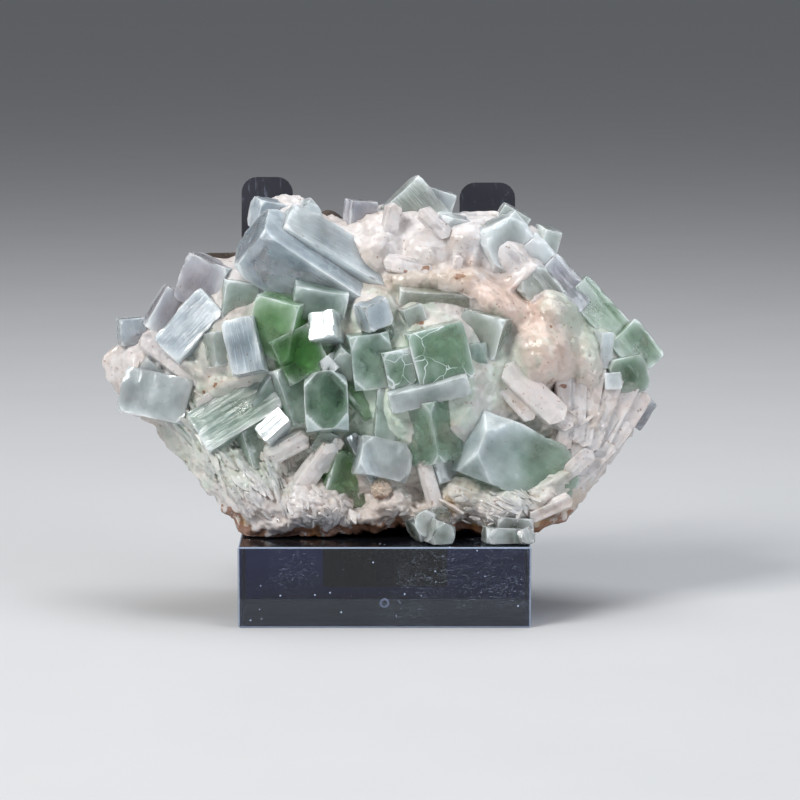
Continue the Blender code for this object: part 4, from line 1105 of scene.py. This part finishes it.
FANS = [
    Fan(-17, 72, 6, 2, -20, 50, 12, 2.6, 0.8, 10), Fan(38, 30, 4, 5, -44, 10, 20, 4.4, 0.6, 4),
    Fan(-22, 24, 9, 6, 32, 34, 90, 3.0, 0.7, 8), Fan(-10, 19, 9, 3, 10, 40, 60, 2.2, 0.6, 14),
    Fan(-31, 32, 6, 7, 40, 10, 50, 5.4, 0.9, 2), Fan(-42, 43, 4, 5, -30, 40, 20, 2.8, 0.7, 8),
    Fan(14, 19, 14, 3, 70, 40, 40, 2.0, 0.6, 14), Fan(22, 22, 9, 3, 66, 20, 30, 4.0, 0.6, 4),
]
BLADE_ROOF = np.radians(55)
BLADE_WHITE = (0.80, 0.75, 0.73)
BLADES_WITHIN = 0.93
SLOPE_STEP = 0.3


def crust_place(x, z):
    """Points on the crust's front at these places, and the way out of it, from the slope
    between neighbours a small step apart."""

    def depth(right, up):
        angle, share = around(right, up)
        return crust_depth(right, up, angle, np.minimum(share, 1))[0]

    y = depth(x, z)
    slope_x = (depth(x + SLOPE_STEP, z) - y) / SLOPE_STEP
    slope_z = (depth(x, z + SLOPE_STEP) - y) / SLOPE_STEP
    out = np.stack([slope_x, -np.ones_like(y), slope_z], axis=-1)
    return np.stack([x, y, z], axis=-1), out / np.linalg.norm(out, axis=1, keepdims=True)


def unit(vectors):
    """Each vector at length one."""
    return vectors / np.linalg.norm(vectors, axis=-1, keepdims=True)


def roof_planes(half, roof, spare):
    """Normals and distances of a bar whose ends are roofs: six box planes, and four that slope
    to its ends and pass their middles at the spare distance."""
    flat = np.concatenate([np.eye(3), -np.eye(3)])
    slopes = np.array([[s * np.cos(roof), 0, t * np.sin(roof)] for s in (1, -1) for t in (1, -1)])
    distances = np.concatenate([half, half, np.full(4, half[2] * np.sin(roof) + spare)])
    return np.concatenate([flat, slopes]), distances


def blade_grid():
    """A bar one unit long, wide and thick: a grid point divided by the largest of (point .
    normal / distance) over its planes."""
    normals, distances = roof_planes(np.full(3, 0.5), BLADE_ROOF, 0.02)
    places, quads = block_grid(3)
    ahead = places * 0.5
    near = np.maximum(ahead @ normals.T / distances, 0)
    return ahead / near.max(axis=1, keepdims=True), quads


def fan_blades(fan, seed):
    """The blades of one fan as one part. Each point is middle + length * along + width * side
    + thickness * out, with the three directions worked out for every blade at once."""
    rng = np.random.default_rng(seed)
    middle = rng.normal(0, 0.5, (fan.count, 2)) * [fan.wide, fan.tall]
    x, z = fan.x + middle[:, 0], fan.z + middle[:, 1]
    inside = around(x, z)[1] < BLADES_WITHIN
    x, z = x[inside], z[inside]
    place, out = crust_place(x, z)
    turn = np.radians(fan.turn + rng.normal(0, 0.6, len(x)) * fan.spread)
    along = np.stack([-np.sin(turn), np.zeros_like(turn), np.cos(turn)], axis=-1)
    along = unit(along - out * (along * out).sum(axis=1, keepdims=True))
    rise = np.radians(np.abs(rng.normal(0, 0.8, len(x))) * fan.raise_by)[:, None]
    along = unit(along * np.cos(rise) + out * np.sin(rise))
    side = unit(np.cross(along, out))
    roll = rng.normal(0, 0.5, (len(x), 1))
    side = unit(side * np.cos(roll) + np.cross(along, side) * np.sin(roll))
    top = np.cross(side, along)
    grid, quads = blade_grid()
    size = rng.lognormal(0, 0.3, (len(x), 1))
    long, broad = fan.long * size, fan.broad * size
    thick = broad * (0.35 + 0.25 * rng.random((len(x), 1)))
    points = (
        (place + out * (0.30 - 0.40 * thick))[:, None]
        + grid[None, :, 2:3] * (along * long)[:, None]
        + grid[None, :, 0:1] * (side * broad)[:, None]
        + grid[None, :, 1:2] * (top * thick)[:, None]
    )
    count, corners = len(x), len(grid)
    points = points.reshape(-1, 3)
    quads = (quads[None] + np.arange(count)[:, None, None] * corners).reshape(-1, 4)
    values = stilbite_values(points, np.full(len(points), 0.25), np.full(len(points), 0.2))
    shade = np.repeat(rng.random(count), corners)
    values["tint"] = mixed(values["tint"], BLADE_WHITE, 0.15 + 0.4 * shade)
    return resting(points), quads, values


fans = [fan_blades(fan, 500 + k) for k, fan in enumerate(FANS)]
print("blades:", sum(len(part[1]) for part in fans) // len(blade_grid()[1]))

# %% [markdown]
# The larger laths are shaped one by one: the ribs of the fan at the lower right, whose upper
# ends sink into the crust, the white bars by the peach ridge, the lath and the spindle at the
# top, the stalk, the lilac pair and the bar at the foot. They are bars with roof-shaped ends,
# cut by planes in the same way as the crystals, with ribs along them.

# %% The larger laths
Lath = namedtuple("Lath", "x y z wide deep tall turn tip swing")

LATHS = [
    Lath(0.9, -8.0, 69.0, 2.6, 2.4, 8.4, -10, 8, 20),
    Lath(8.6, -9.0, 69.6, 2.8, 2.0, 7.0, 45, 6, 10),
    Lath(12.0, -10.5, 60.4, 1.5, 2.0, 7.4, -14, 6, 20),
    Lath(8.0, -15.0, 23.5, 2.2, 2.4, 11.0, 16, 6, 15),
    Lath(-12.0, -13.6, 27.6, 3.0, 3.4, 10.4, -36, 8, 20),
    Lath(-9.4, -14.0, 29.6, 2.2, 2.6, 7.0, -28, 8, 20),
    Lath(-17.0, -12.6, 31.0, 3.2, 3.6, 9.0, -62, 8, 20),
    Lath(28.5, -14.6, 20.4, 2.0, 2.4, 8.0, -66, 0, 20),
    Lath(31.2, -9.0, 39.4, 2.8, 2.4, 13.0, 4, -8, 8),
    Lath(33.4, -8.9, 38.6, 2.9, 2.4, 15.0, -3, -9, 10),
    Lath(35.7, -8.4, 37.8, 2.9, 2.4, 15.0, -12, -9, 6),
    Lath(37.9, -7.6, 36.8, 2.9, 2.4, 15.0, -21, -9, 10),
    Lath(39.9, -6.6, 35.4, 2.8, 2.4, 15.0, -28, -9, 6),
    Lath(41.6, -5.4, 34.0, 2.8, 2.4, 15.0, -33, -7, 10),
    Lath(38.6, -6.8, 30.4, 2.8, 2.2, 12.0, -38, -7, 10),
    Lath(36.4, -7.6, 31.4, 2.9, 2.4, 13.0, -31, -7, 8),
    Lath(34.0, -8.7, 31.8, 2.8, 2.4, 13.0, -20, -7, 6),
    Lath(35.4, -8.0, 27.2, 2.8, 2.2, 12.0, -46, -5, 8),
    Lath(32.2, -9.7, 27.0, 2.8, 2.2, 10.0, -50, -5, 10),
    Lath(31.2, -10.2, 33.6, 2.8, 2.4, 7.0, -8, 2, 8),
    Lath(25.6, -12.2, 40.0, 4.6, 3.0, 14.0, 46, 2, 14),
    Lath(22.4, -11.8, 39.2, 3.2, 2.6, 10.0, 40, 2, 10),
    Lath(28.8, -11.2, 36.6, 3.0, 2.6, 8.6, 54, 2, 12),
    Lath(-38.6, -6.8, 47.0, 3.6, 3.0, 10.0, 50, 2, 14),
    Lath(-30.0, -11.2, 40.0, 1.3, 1.6, 6.4, -54, 4, 20),
    Lath(-34.6, -8.0, 43.6, 2.6, 2.6, 8.0, 56, 2, 10),
    Lath(28.6, -9.0, 53.6, 2.6, 2.4, 9.0, 40, 2, 10),
    Lath(16.4, -11.0, 57.0, 3.4, 2.6, 10.0, 62, 2, 16),
    Lath(5.0, -9.6, 61.6, 3.0, 2.6, 11.0, 78, 2, 14),
]
LATH_STEPS = 20
LATH_WHITE = (0.83, 0.77, 0.76)
ROOF = np.radians(60)


def lath_form(item, seed):
    """A bar whose ends are roofs, made in the same way as a crystal, with ribs along it."""
    half = np.array([item.wide, item.deep, item.tall]) / 2
    planes, distances = roof_planes(half, ROOF, 0.05 * half[0])
    points, quads, share, edge, _ = planed(item, planes, distances, LATH_STEPS)
    ribs = growth_lines(points, np.pad(share, ((0, 0), (0, 4))), seed) * 1.6
    height = ribs + 0.10 * rough(points, 1.6, 3, seed) - 0.1 * edge
    points = points + (share @ planes) * height[:, None]
    placed = points @ item_turn(item).T + [item.x, item.y, item.z]
    values = stilbite_values(placed, height * 2 + 0.5, np.full(len(points), 0.15))
    values["tint"] = mixed(values["tint"], LATH_WHITE, np.full(len(points), 0.55))
    return resting(placed), quads, values


lath_parts = [lath_form(item, 400 + k) for k, item in enumerate(LATHS)]
print("laths:", len(lath_parts))

# %% [markdown]
# A small cream tuft of fibres stands in front of the foot's middle. It is a ball whose skin is
# drawn out into short spikes.

# %% The tuft
TUFT = Lump(-0.6, -15.6, 23.6, 1.6, 1.5, 1.7, 0)
TUFT_STEPS = 34
TUFT_CREAM = (0.66, 0.52, 0.40)
TUFT_RUST_TOP = 23.0


def tuft_form():
    """A ball's directions times the half sizes, times one plus the height of fine grains."""
    ways, quads = ball_grid(TUFT_STEPS)
    points = ways * [TUFT.wide, TUFT.deep, TUFT.tall] + [TUFT.x, TUFT.y, TUFT.z]
    height = grains(points, 0.62, 95) * 0.7 - 0.35
    points = points + ways * height[:, None]
    values = stilbite_values(points, height, np.ones(len(points)))
    values["tint"] = mixed(values["tint"], TUFT_CREAM, np.full(len(points), 0.8))
    values["tint"] = mixed(values["tint"], RUST, (TUFT_RUST_TOP - points[:, 2]) * 0.8)
    return resting(points), quads, values


tuft = tuft_form()
print("tuft:", len(tuft[1]), "faces")

# %% [markdown]
# Stilbite is dull and sugary where its crystals are small, and waxy on the smooth lumps. Light
# goes a little way into it, so it has some scattering under the surface.

# %% The stilbite finish


def stilbite_finish():
    """Its tint, darker in clouds and paler on what stands out as a painted highlight, with
    brown specks and a stain broken up by crumbs. Where it is sugary, small facets glint."""
    finish = Finish("stilbite_crust_finish")
    tint, raised, sugar = finish.colour("tint"), finish.value("raised"), finish.value("sugar")
    cloud = finish.noise(240, detail=3)
    fine = finish.noise(1500, detail=2)
    dust = finish.noise(1300, detail=1)
    glint = finish.node("ShaderNodeSeparateColor", {}, {"Color": finish.cells(1500, out="Color")})
    colour = finish.blend(cloud.step(0.45, 0.8) * 0.45, tint, (0.75, 0.62, 0.52), "MULTIPLY")
    # Painted highlight: what stands out is blended toward pale grey.
    colour = finish.blend(raised.step(0.55, 1.0) * 0.35, colour, (0.74, 0.73, 0.75))
    colour = finish.blend(dust.step(0.70, 0.74) * 0.6, colour, (0.28, 0.15, 0.08))
    crumbs = finish.noise(620, detail=3)
    stained = (finish.value("stain") * 0.9 + crumbs * 3.2 - 2.35).step(0.0, 0.2)
    colour = finish.blend(stained * 0.85, colour, RUST)
    grain = finish.bump(
        fine * 0.7 + cloud * 1.4 + glint * (sugar * 0.9), strength=0.45, distance=0.00014,
        way=finish.facets(900, 0.45, finish.facets(300, 0.50)),
    )
    shine = glint.step(0.78, 1.0) * (sugar * 0.8 + 0.2)
    finish.surface(finish.principled(
        Base_Color=colour, Roughness=(0.40 + sugar * 0.14 - shine * 0.3).clamped(), IOR=1.5,
        Subsurface_Weight=0.40, Subsurface_Radius=(1.0, 0.8, 0.68), Subsurface_Scale=0.0010,
        Coat_Weight=(shine * 0.5 + 0.50).clamped(), Coat_Roughness=0.12, Normal=grain,
    ))
    return finish.material


STILBITE = stilbite_finish()
print("stilbite finish:", STILBITE.name)

# %% [markdown]
# All three pieces of the crust stand in for the one solid. The mass is shaded smooth, since it
# is waxy and lumpy, and the laths and blades keep their edges sharp.

# %% Put the crust in its place


def put_crust(name, parts, crease=None):
    """One mesh from the parts, in place of the crust's solid."""
    piece = make_piece(name, join_parts(parts), [STILBITE], crease)
    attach(piece, "root")
    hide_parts("stilbite_crust")
    print(name, len(piece.data.polygons), "faces")


put_crust("stilbite_mass", [mass])
put_crust("stilbite_laths", lath_parts + [tuft], FACET_CREASE)
put_crust("stilbite_blades", fans, FACET_CREASE)

# %% [markdown]
# ## Basalt
# The host rock is a dark broken slab. It shows past the crust at the top and carries the whole
# specimen, and its back is bare. It is another pillow, which faces the other way, with hollows
# and ledges from noise.

# %% The basalt
ROCK_FRONT = 4.3
ROCK_RIM = 5.0
ROCK_MARGIN = 1.6
ROCK_STEPS = 96
ROCK_PART = 0.75
DEEPEST_HOLLOW = 6.5
ROCK_SHOWS = [(144, 6, 3.2), (118, 7, 1.2), (107, 6, 3.2), (92, 4, 2.2), (162, 6, 3.0)]


def rock_reach(angle):
    """The crust's outline less a margin, plus a hump in each direction where rock shows."""
    degrees = np.degrees(angle)
    shown = sum(
        reach * np.maximum(0, 1 - (((degrees - way + 180) % 360 - 180) / spread) ** 2)
        for way, spread, reach in ROCK_SHOWS
    )
    return smooth_reach(angle) - ROCK_MARGIN + shown


def rock_form():
    """The rock's share of the way to its rim gives its depth: flat on the crust's back, and at
    the specimen's back a slab whose depth falls off as (1 - share^5)^0.6, less its hollows."""
    angle, share, ahead, quads = pillow(ROCK_STEPS, ROCK_PART, facing=1)
    across = rock_reach(angle) * share * (1 - np.clip(ahead * 2 - 1, 0, 1))
    x = MIDDLE[0] + across * np.cos(angle)
    z = MIDDLE[1] + across * np.sin(angle)
    spot = np.stack([x, np.full_like(x, ROCK_RIM), z], axis=-1)
    hollow = np.abs(rough(spot, 9.0, 4, 80)) * 5.5 + np.abs(noise(spot, 3.0, 84)) * 1.6
    slab = BACK - ROCK_RIM - np.minimum(hollow, DEEPEST_HOLLOW)
    deep = ROCK_RIM + slab * (1 - share**5) ** 0.6
    side = ROCK_RIM - (ROCK_RIM - ROCK_FRONT) * np.clip(ahead * 2, 0, 1)
    y = np.where(ahead > 0, side, deep)
    points = np.stack([x, y, z], axis=-1)
    ledges = np.round(rough(points, 4.0, 4, 86) * 4) / 4 * 0.5
    ledges = ledges + 0.25 * grains(points, 1.4, 87) - 0.3
    height = ledges * np.clip((y - ROCK_FRONT) / 1.5, 0, 1)
    points = points + outward_of(points, quads) * height[:, None]
    points[:, 1] = np.clip(points[:, 1], ROCK_FRONT, BACK)
    return resting(points), quads, {"raised": np.clip(height + 0.5, 0, 1)}


def basalt_finish():
    """Dark in clouds, with pale specks, paler on what stands out as a painted highlight, and
    pitted by gas bubbles.
    """
    finish = Finish("basalt_finish")
    raised = finish.value("raised")
    cloud = finish.noise(150, detail=6)
    specks = finish.noise(1300, detail=3)
    pits = 1 - finish.cells(420).step(0.12, 0.3)
    colour = finish.blend(cloud.step(0.35, 0.7), (0.035, 0.028, 0.026), (0.10, 0.075, 0.06))
    colour = finish.blend(specks.step(0.62, 0.72) * 0.6, colour, (0.30, 0.26, 0.22))
    # Painted highlight: what stands out is blended toward a paler brown.
    colour = finish.blend(raised.step(0.5, 0.9) * 0.3, colour, (0.16, 0.13, 0.11))
    grain = finish.bump(cloud + specks * 0.6 - pits * 0.8, strength=0.7, distance=0.0004)
    finish.surface(finish.principled(
        Base_Color=colour, Roughness=(0.78 + specks * 0.2).clamped(), Normal=grain,
    ))
    return finish.material


BASALT = basalt_finish()
rock = make_piece("basalt_rock", rock_form(), [BASALT])
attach(rock, "root")
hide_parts("basalt_matrix")
print("rock:", len(rock.data.polygons), "faces")

# %% [markdown]
# ## The stand
# The block is clear acrylic with a navy smoke tint, polished on all faces: light is lost inside
# it, so it looks almost black from the front. It carries fine scratches and dust, and painted
# highlights along its edges. Its solid has the right shape and stays, and only gets its
# finish. So do the fork and the screw.

# %% The stand's finishes
# Heights where the painted light at the foot of the block fades out.
PAINTED_BAND_HEIGHTS = (0.0048, 0.0052)
SMOKE = (0.26, 0.38, 0.66)
SMOKE_DENSITY = 230


def box_edge_distance(finish):
    """How far a point of the block is from its nearest edge: a point of a face is at no
    distance from one pair of sides, so the smallest of the three pairwise maxima is taken."""
    sizes = {"X": BLOCK_WIDE / 2, "Y": BLOCK_DEEP / 2, "Z": BLOCK_TALL / 2}
    away = {}
    for axis, half_size in sizes.items():
        centred = finish.axis(axis) - (BLOCK_TALL / 2 * MM if axis == "Z" else 0.0)
        away[axis] = half_size * MM - centred.math("ABSOLUTE")
    pairs = [away[a].math("MAXIMUM", away[b]) for a, b in ("XY", "XZ", "YZ")]
    return pairs[0].math("MINIMUM", pairs[1]).math("MINIMUM", pairs[2])


def acrylic_finish():
    """Clear and tinted, with dust, scratches and a painted highlight on the edges mixed in as a
    matt shader. The lowest third is a little paler: painted light, for the band that the bottom
    face reflects."""
    finish = Finish("smoke_acrylic_finish")
    scuffs = finish.noise(300, detail=5, place=finish.stretched(finish.place, (1.0, 1.0, 8.0)))
    haze = finish.noise(45, detail=4)
    squeezed = finish.stretched(finish.place, (1.0, 1.0, 3.0))
    marks = finish.noise(220, detail=3, distortion=3.0, place=squeezed)
    sparse = finish.noise(330, detail=2)
    specks = (1 - finish.cells(620).step(0.07, 0.12)) * sparse.step(0.50, 0.56)
    scratches = (1 - (marks - 0.5).math("ABSOLUTE").step(0.0, 0.006)) * haze.step(0.50, 0.60)
    # Painted highlight: a thin pale line along the block's edges.
    edge = 1 - box_edge_distance(finish).step(0.0001, 0.0004)
    # Painted light: the lowest part of the block is a little paler.
    painted_low_band = 1 - finish.axis("Z").step(*PAINTED_BAND_HEIGHTS)
    grain = finish.bump(scuffs, strength=0.03, distance=0.0001)
    clear = finish.principled(
        Base_Color=(0.60, 0.66, 0.80), Roughness=(0.02 + haze * 0.05 + edge * 0.2).clamped(),
        IOR=1.49, Transmission_Weight=1.0, Specular_IOR_Level=0.25, Normal=grain,
    )
    dust_and_highlight = finish.principled(Base_Color=(0.56, 0.68, 0.90), Roughness=0.6)
    share = specks * 0.8 + scratches * 0.6 + edge * 0.7 + painted_low_band * 0.04 + 0.008
    finish.surface(finish.shader_mix(share, clear, dust_and_highlight))
    finish.absorb(SMOKE, SMOKE_DENSITY)
    return finish.material


def coated_finish(name, colour, worn):
    """A dark coat, cloudy in tone, scuffed paler in streaks and specks."""
    finish = Finish(name)
    cloud = finish.noise(120, detail=5)
    fine = finish.noise(1800, detail=3)
    streak = finish.noise(260, detail=4, place=finish.stretched(finish.place, (6.0, 1.0, 1.0)))
    scuffed = streak.step(0.60, 0.72) * 0.5 + fine.step(0.66, 0.74) * 0.4
    tone = finish.blend(cloud, colour, tuple(c * 1.7 for c in colour))
    tone = finish.blend(scuffed.clamped(), tone, worn)
    grain = finish.bump(fine + cloud, strength=0.15, distance=0.0001)
    finish.surface(finish.principled(
        Base_Color=tone, Roughness=(0.32 + cloud * 0.25 + scuffed * 0.3).clamped(), Normal=grain,
        Coat_Weight=0.2, Coat_Roughness=0.25,
    ))
    return finish.material


print("block:", BLOCK_WIDE, "by", BLOCK_DEEP, "by", BLOCK_TALL, "mm")

# %% [markdown]
# The screw sits in a hole drilled from the back. Its end shows through the block as a pale
# ring, a torus: the ring's circle carries a small circle round it. The ring is a small piece
# inside the block and stands in for no solid.

# %% The drilled hole's end
RING = {"y": -16.2, "z": 4.1, "wide": 0.65, "thick": 0.2, "round": 36, "across": 12}


def ring_form():
    """Place = middle + (wide + thick * cos b) * (cos a, sin a) across, and thick * sin b along
    the hole, for the angles a round the ring and b round its wire."""
    a, b = (np.arange(RING[key]) * 2 * np.pi / RING[key] for key in ("round", "across"))
    a, b = np.meshgrid(a, b, indexing="ij")
    out = RING["wide"] + RING["thick"] * np.cos(b)
    deep = RING["thick"] * np.sin(b) + RING["y"]
    points = np.stack([out * np.cos(a), deep, out * np.sin(a) + RING["z"]], axis=-1)
    index = np.arange(a.size).reshape(a.shape)
    right, up = np.roll(index, -1, axis=0), np.roll(index, -1, axis=1)
    both = np.roll(right, -1, axis=1)
    quads = np.stack([index, up, both, right], axis=-1).reshape(-1, 4)
    return points.reshape(-1, 3) * MM, quads, {}


ring_finish = Finish("drilled_ring_finish")
ring_finish.surface(ring_finish.principled(
    Base_Color=ring_finish.blend(
        ring_finish.noise(900, detail=2), (0.80, 0.82, 0.86), (0.95, 0.96, 1.0)
    ),
    Roughness=0.35,
))
ring = make_piece("screw_hole_end", ring_form(), [ring_finish.material])
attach(ring, "root")
print(ring.name, len(ring.data.polygons), "faces")

# %% [markdown]
# The stand's three solids have the right shape and stay as they are. They only get their
# finishes, in the slots that they already have.

# %% Dress the stand
STAND_FINISHES = {
    "stand_block": acrylic_finish(),
    "stand_fork": coated_finish("black_acrylic_finish", (0.020, 0.021, 0.030), (0.17, 0.20, 0.28)),
    "stand_screw": coated_finish("blackened_steel_finish", (0.03, 0.03, 0.033), (0.22, 0.22, 0.23)),
}
for node_name, finish_made in STAND_FINISHES.items():
    node = bpy.data.objects[node_name]
    for slot in node.material_slots:
        slot.material = finish_made
    print(node_name, "has", len(node.material_slots), "slots")

# %% [markdown]
# ## Room for the picture
# A plain pale floor, a pale world and large soft lights, as in a small studio. The key light is
# high on the left in front, a fill is on the right, and a rim light comes from behind.

# %% Floor, world and lights
FLOOR_WIDE = 14.0

floor_mesh = bpy.data.meshes.new("floor")
half = FLOOR_WIDE / 2
floor_mesh.from_pydata(
    [(-half, -half, 0), (half, -half, 0), (half, half, 0), (-half, half, 0)], [], [(0, 1, 2, 3)]
)
floor = bpy.data.objects.new("floor", floor_mesh)
bpy.context.scene.collection.objects.link(floor)
paper = Finish("pale_paper")
paper.surface(paper.principled(
    Base_Color=paper.blend(paper.noise(30, detail=4), (0.60, 0.61, 0.62), (0.64, 0.64, 0.65)),
    Roughness=0.8,
))
floor_mesh.materials.append(paper.material)

world = bpy.data.worlds.new("pale_room")
world.use_nodes = True
sky = world.node_tree.nodes["Background"]
sky.inputs["Color"].default_value = (0.80, 0.84, 0.90, 1.0)
sky.inputs["Strength"].default_value = 0.20
bpy.context.scene.world = world
bpy.context.scene.view_settings.view_transform = "Standard"


def soft_light(name, place, size, power, colour):
    """An area light that looks at the specimen's middle."""
    lamp = bpy.data.lights.new(name, "AREA")
    lamp.shape = "RECTANGLE"
    lamp.size, lamp.size_y = size
    lamp.energy = power
    lamp.color = colour
    made = bpy.data.objects.new(name, lamp)
    bpy.context.scene.collection.objects.link(made)
    made.location = place
    toward = Vector((0, 0, 0.045)) - Vector(place)
    made.rotation_euler = toward.to_track_quat("-Z", "Y").to_euler()


soft_light("key_light", (-0.42, -0.38, 0.55), (0.30, 0.30), 4.4, (1.0, 0.98, 0.95))
soft_light("fill_light", (0.55, -0.30, 0.30), (0.3, 0.3), 1.5, (0.88, 0.93, 1.0))
soft_light("top_light", (0.05, 0.10, 0.60), (0.5, 0.3), 2.0, (0.95, 0.97, 1.0))
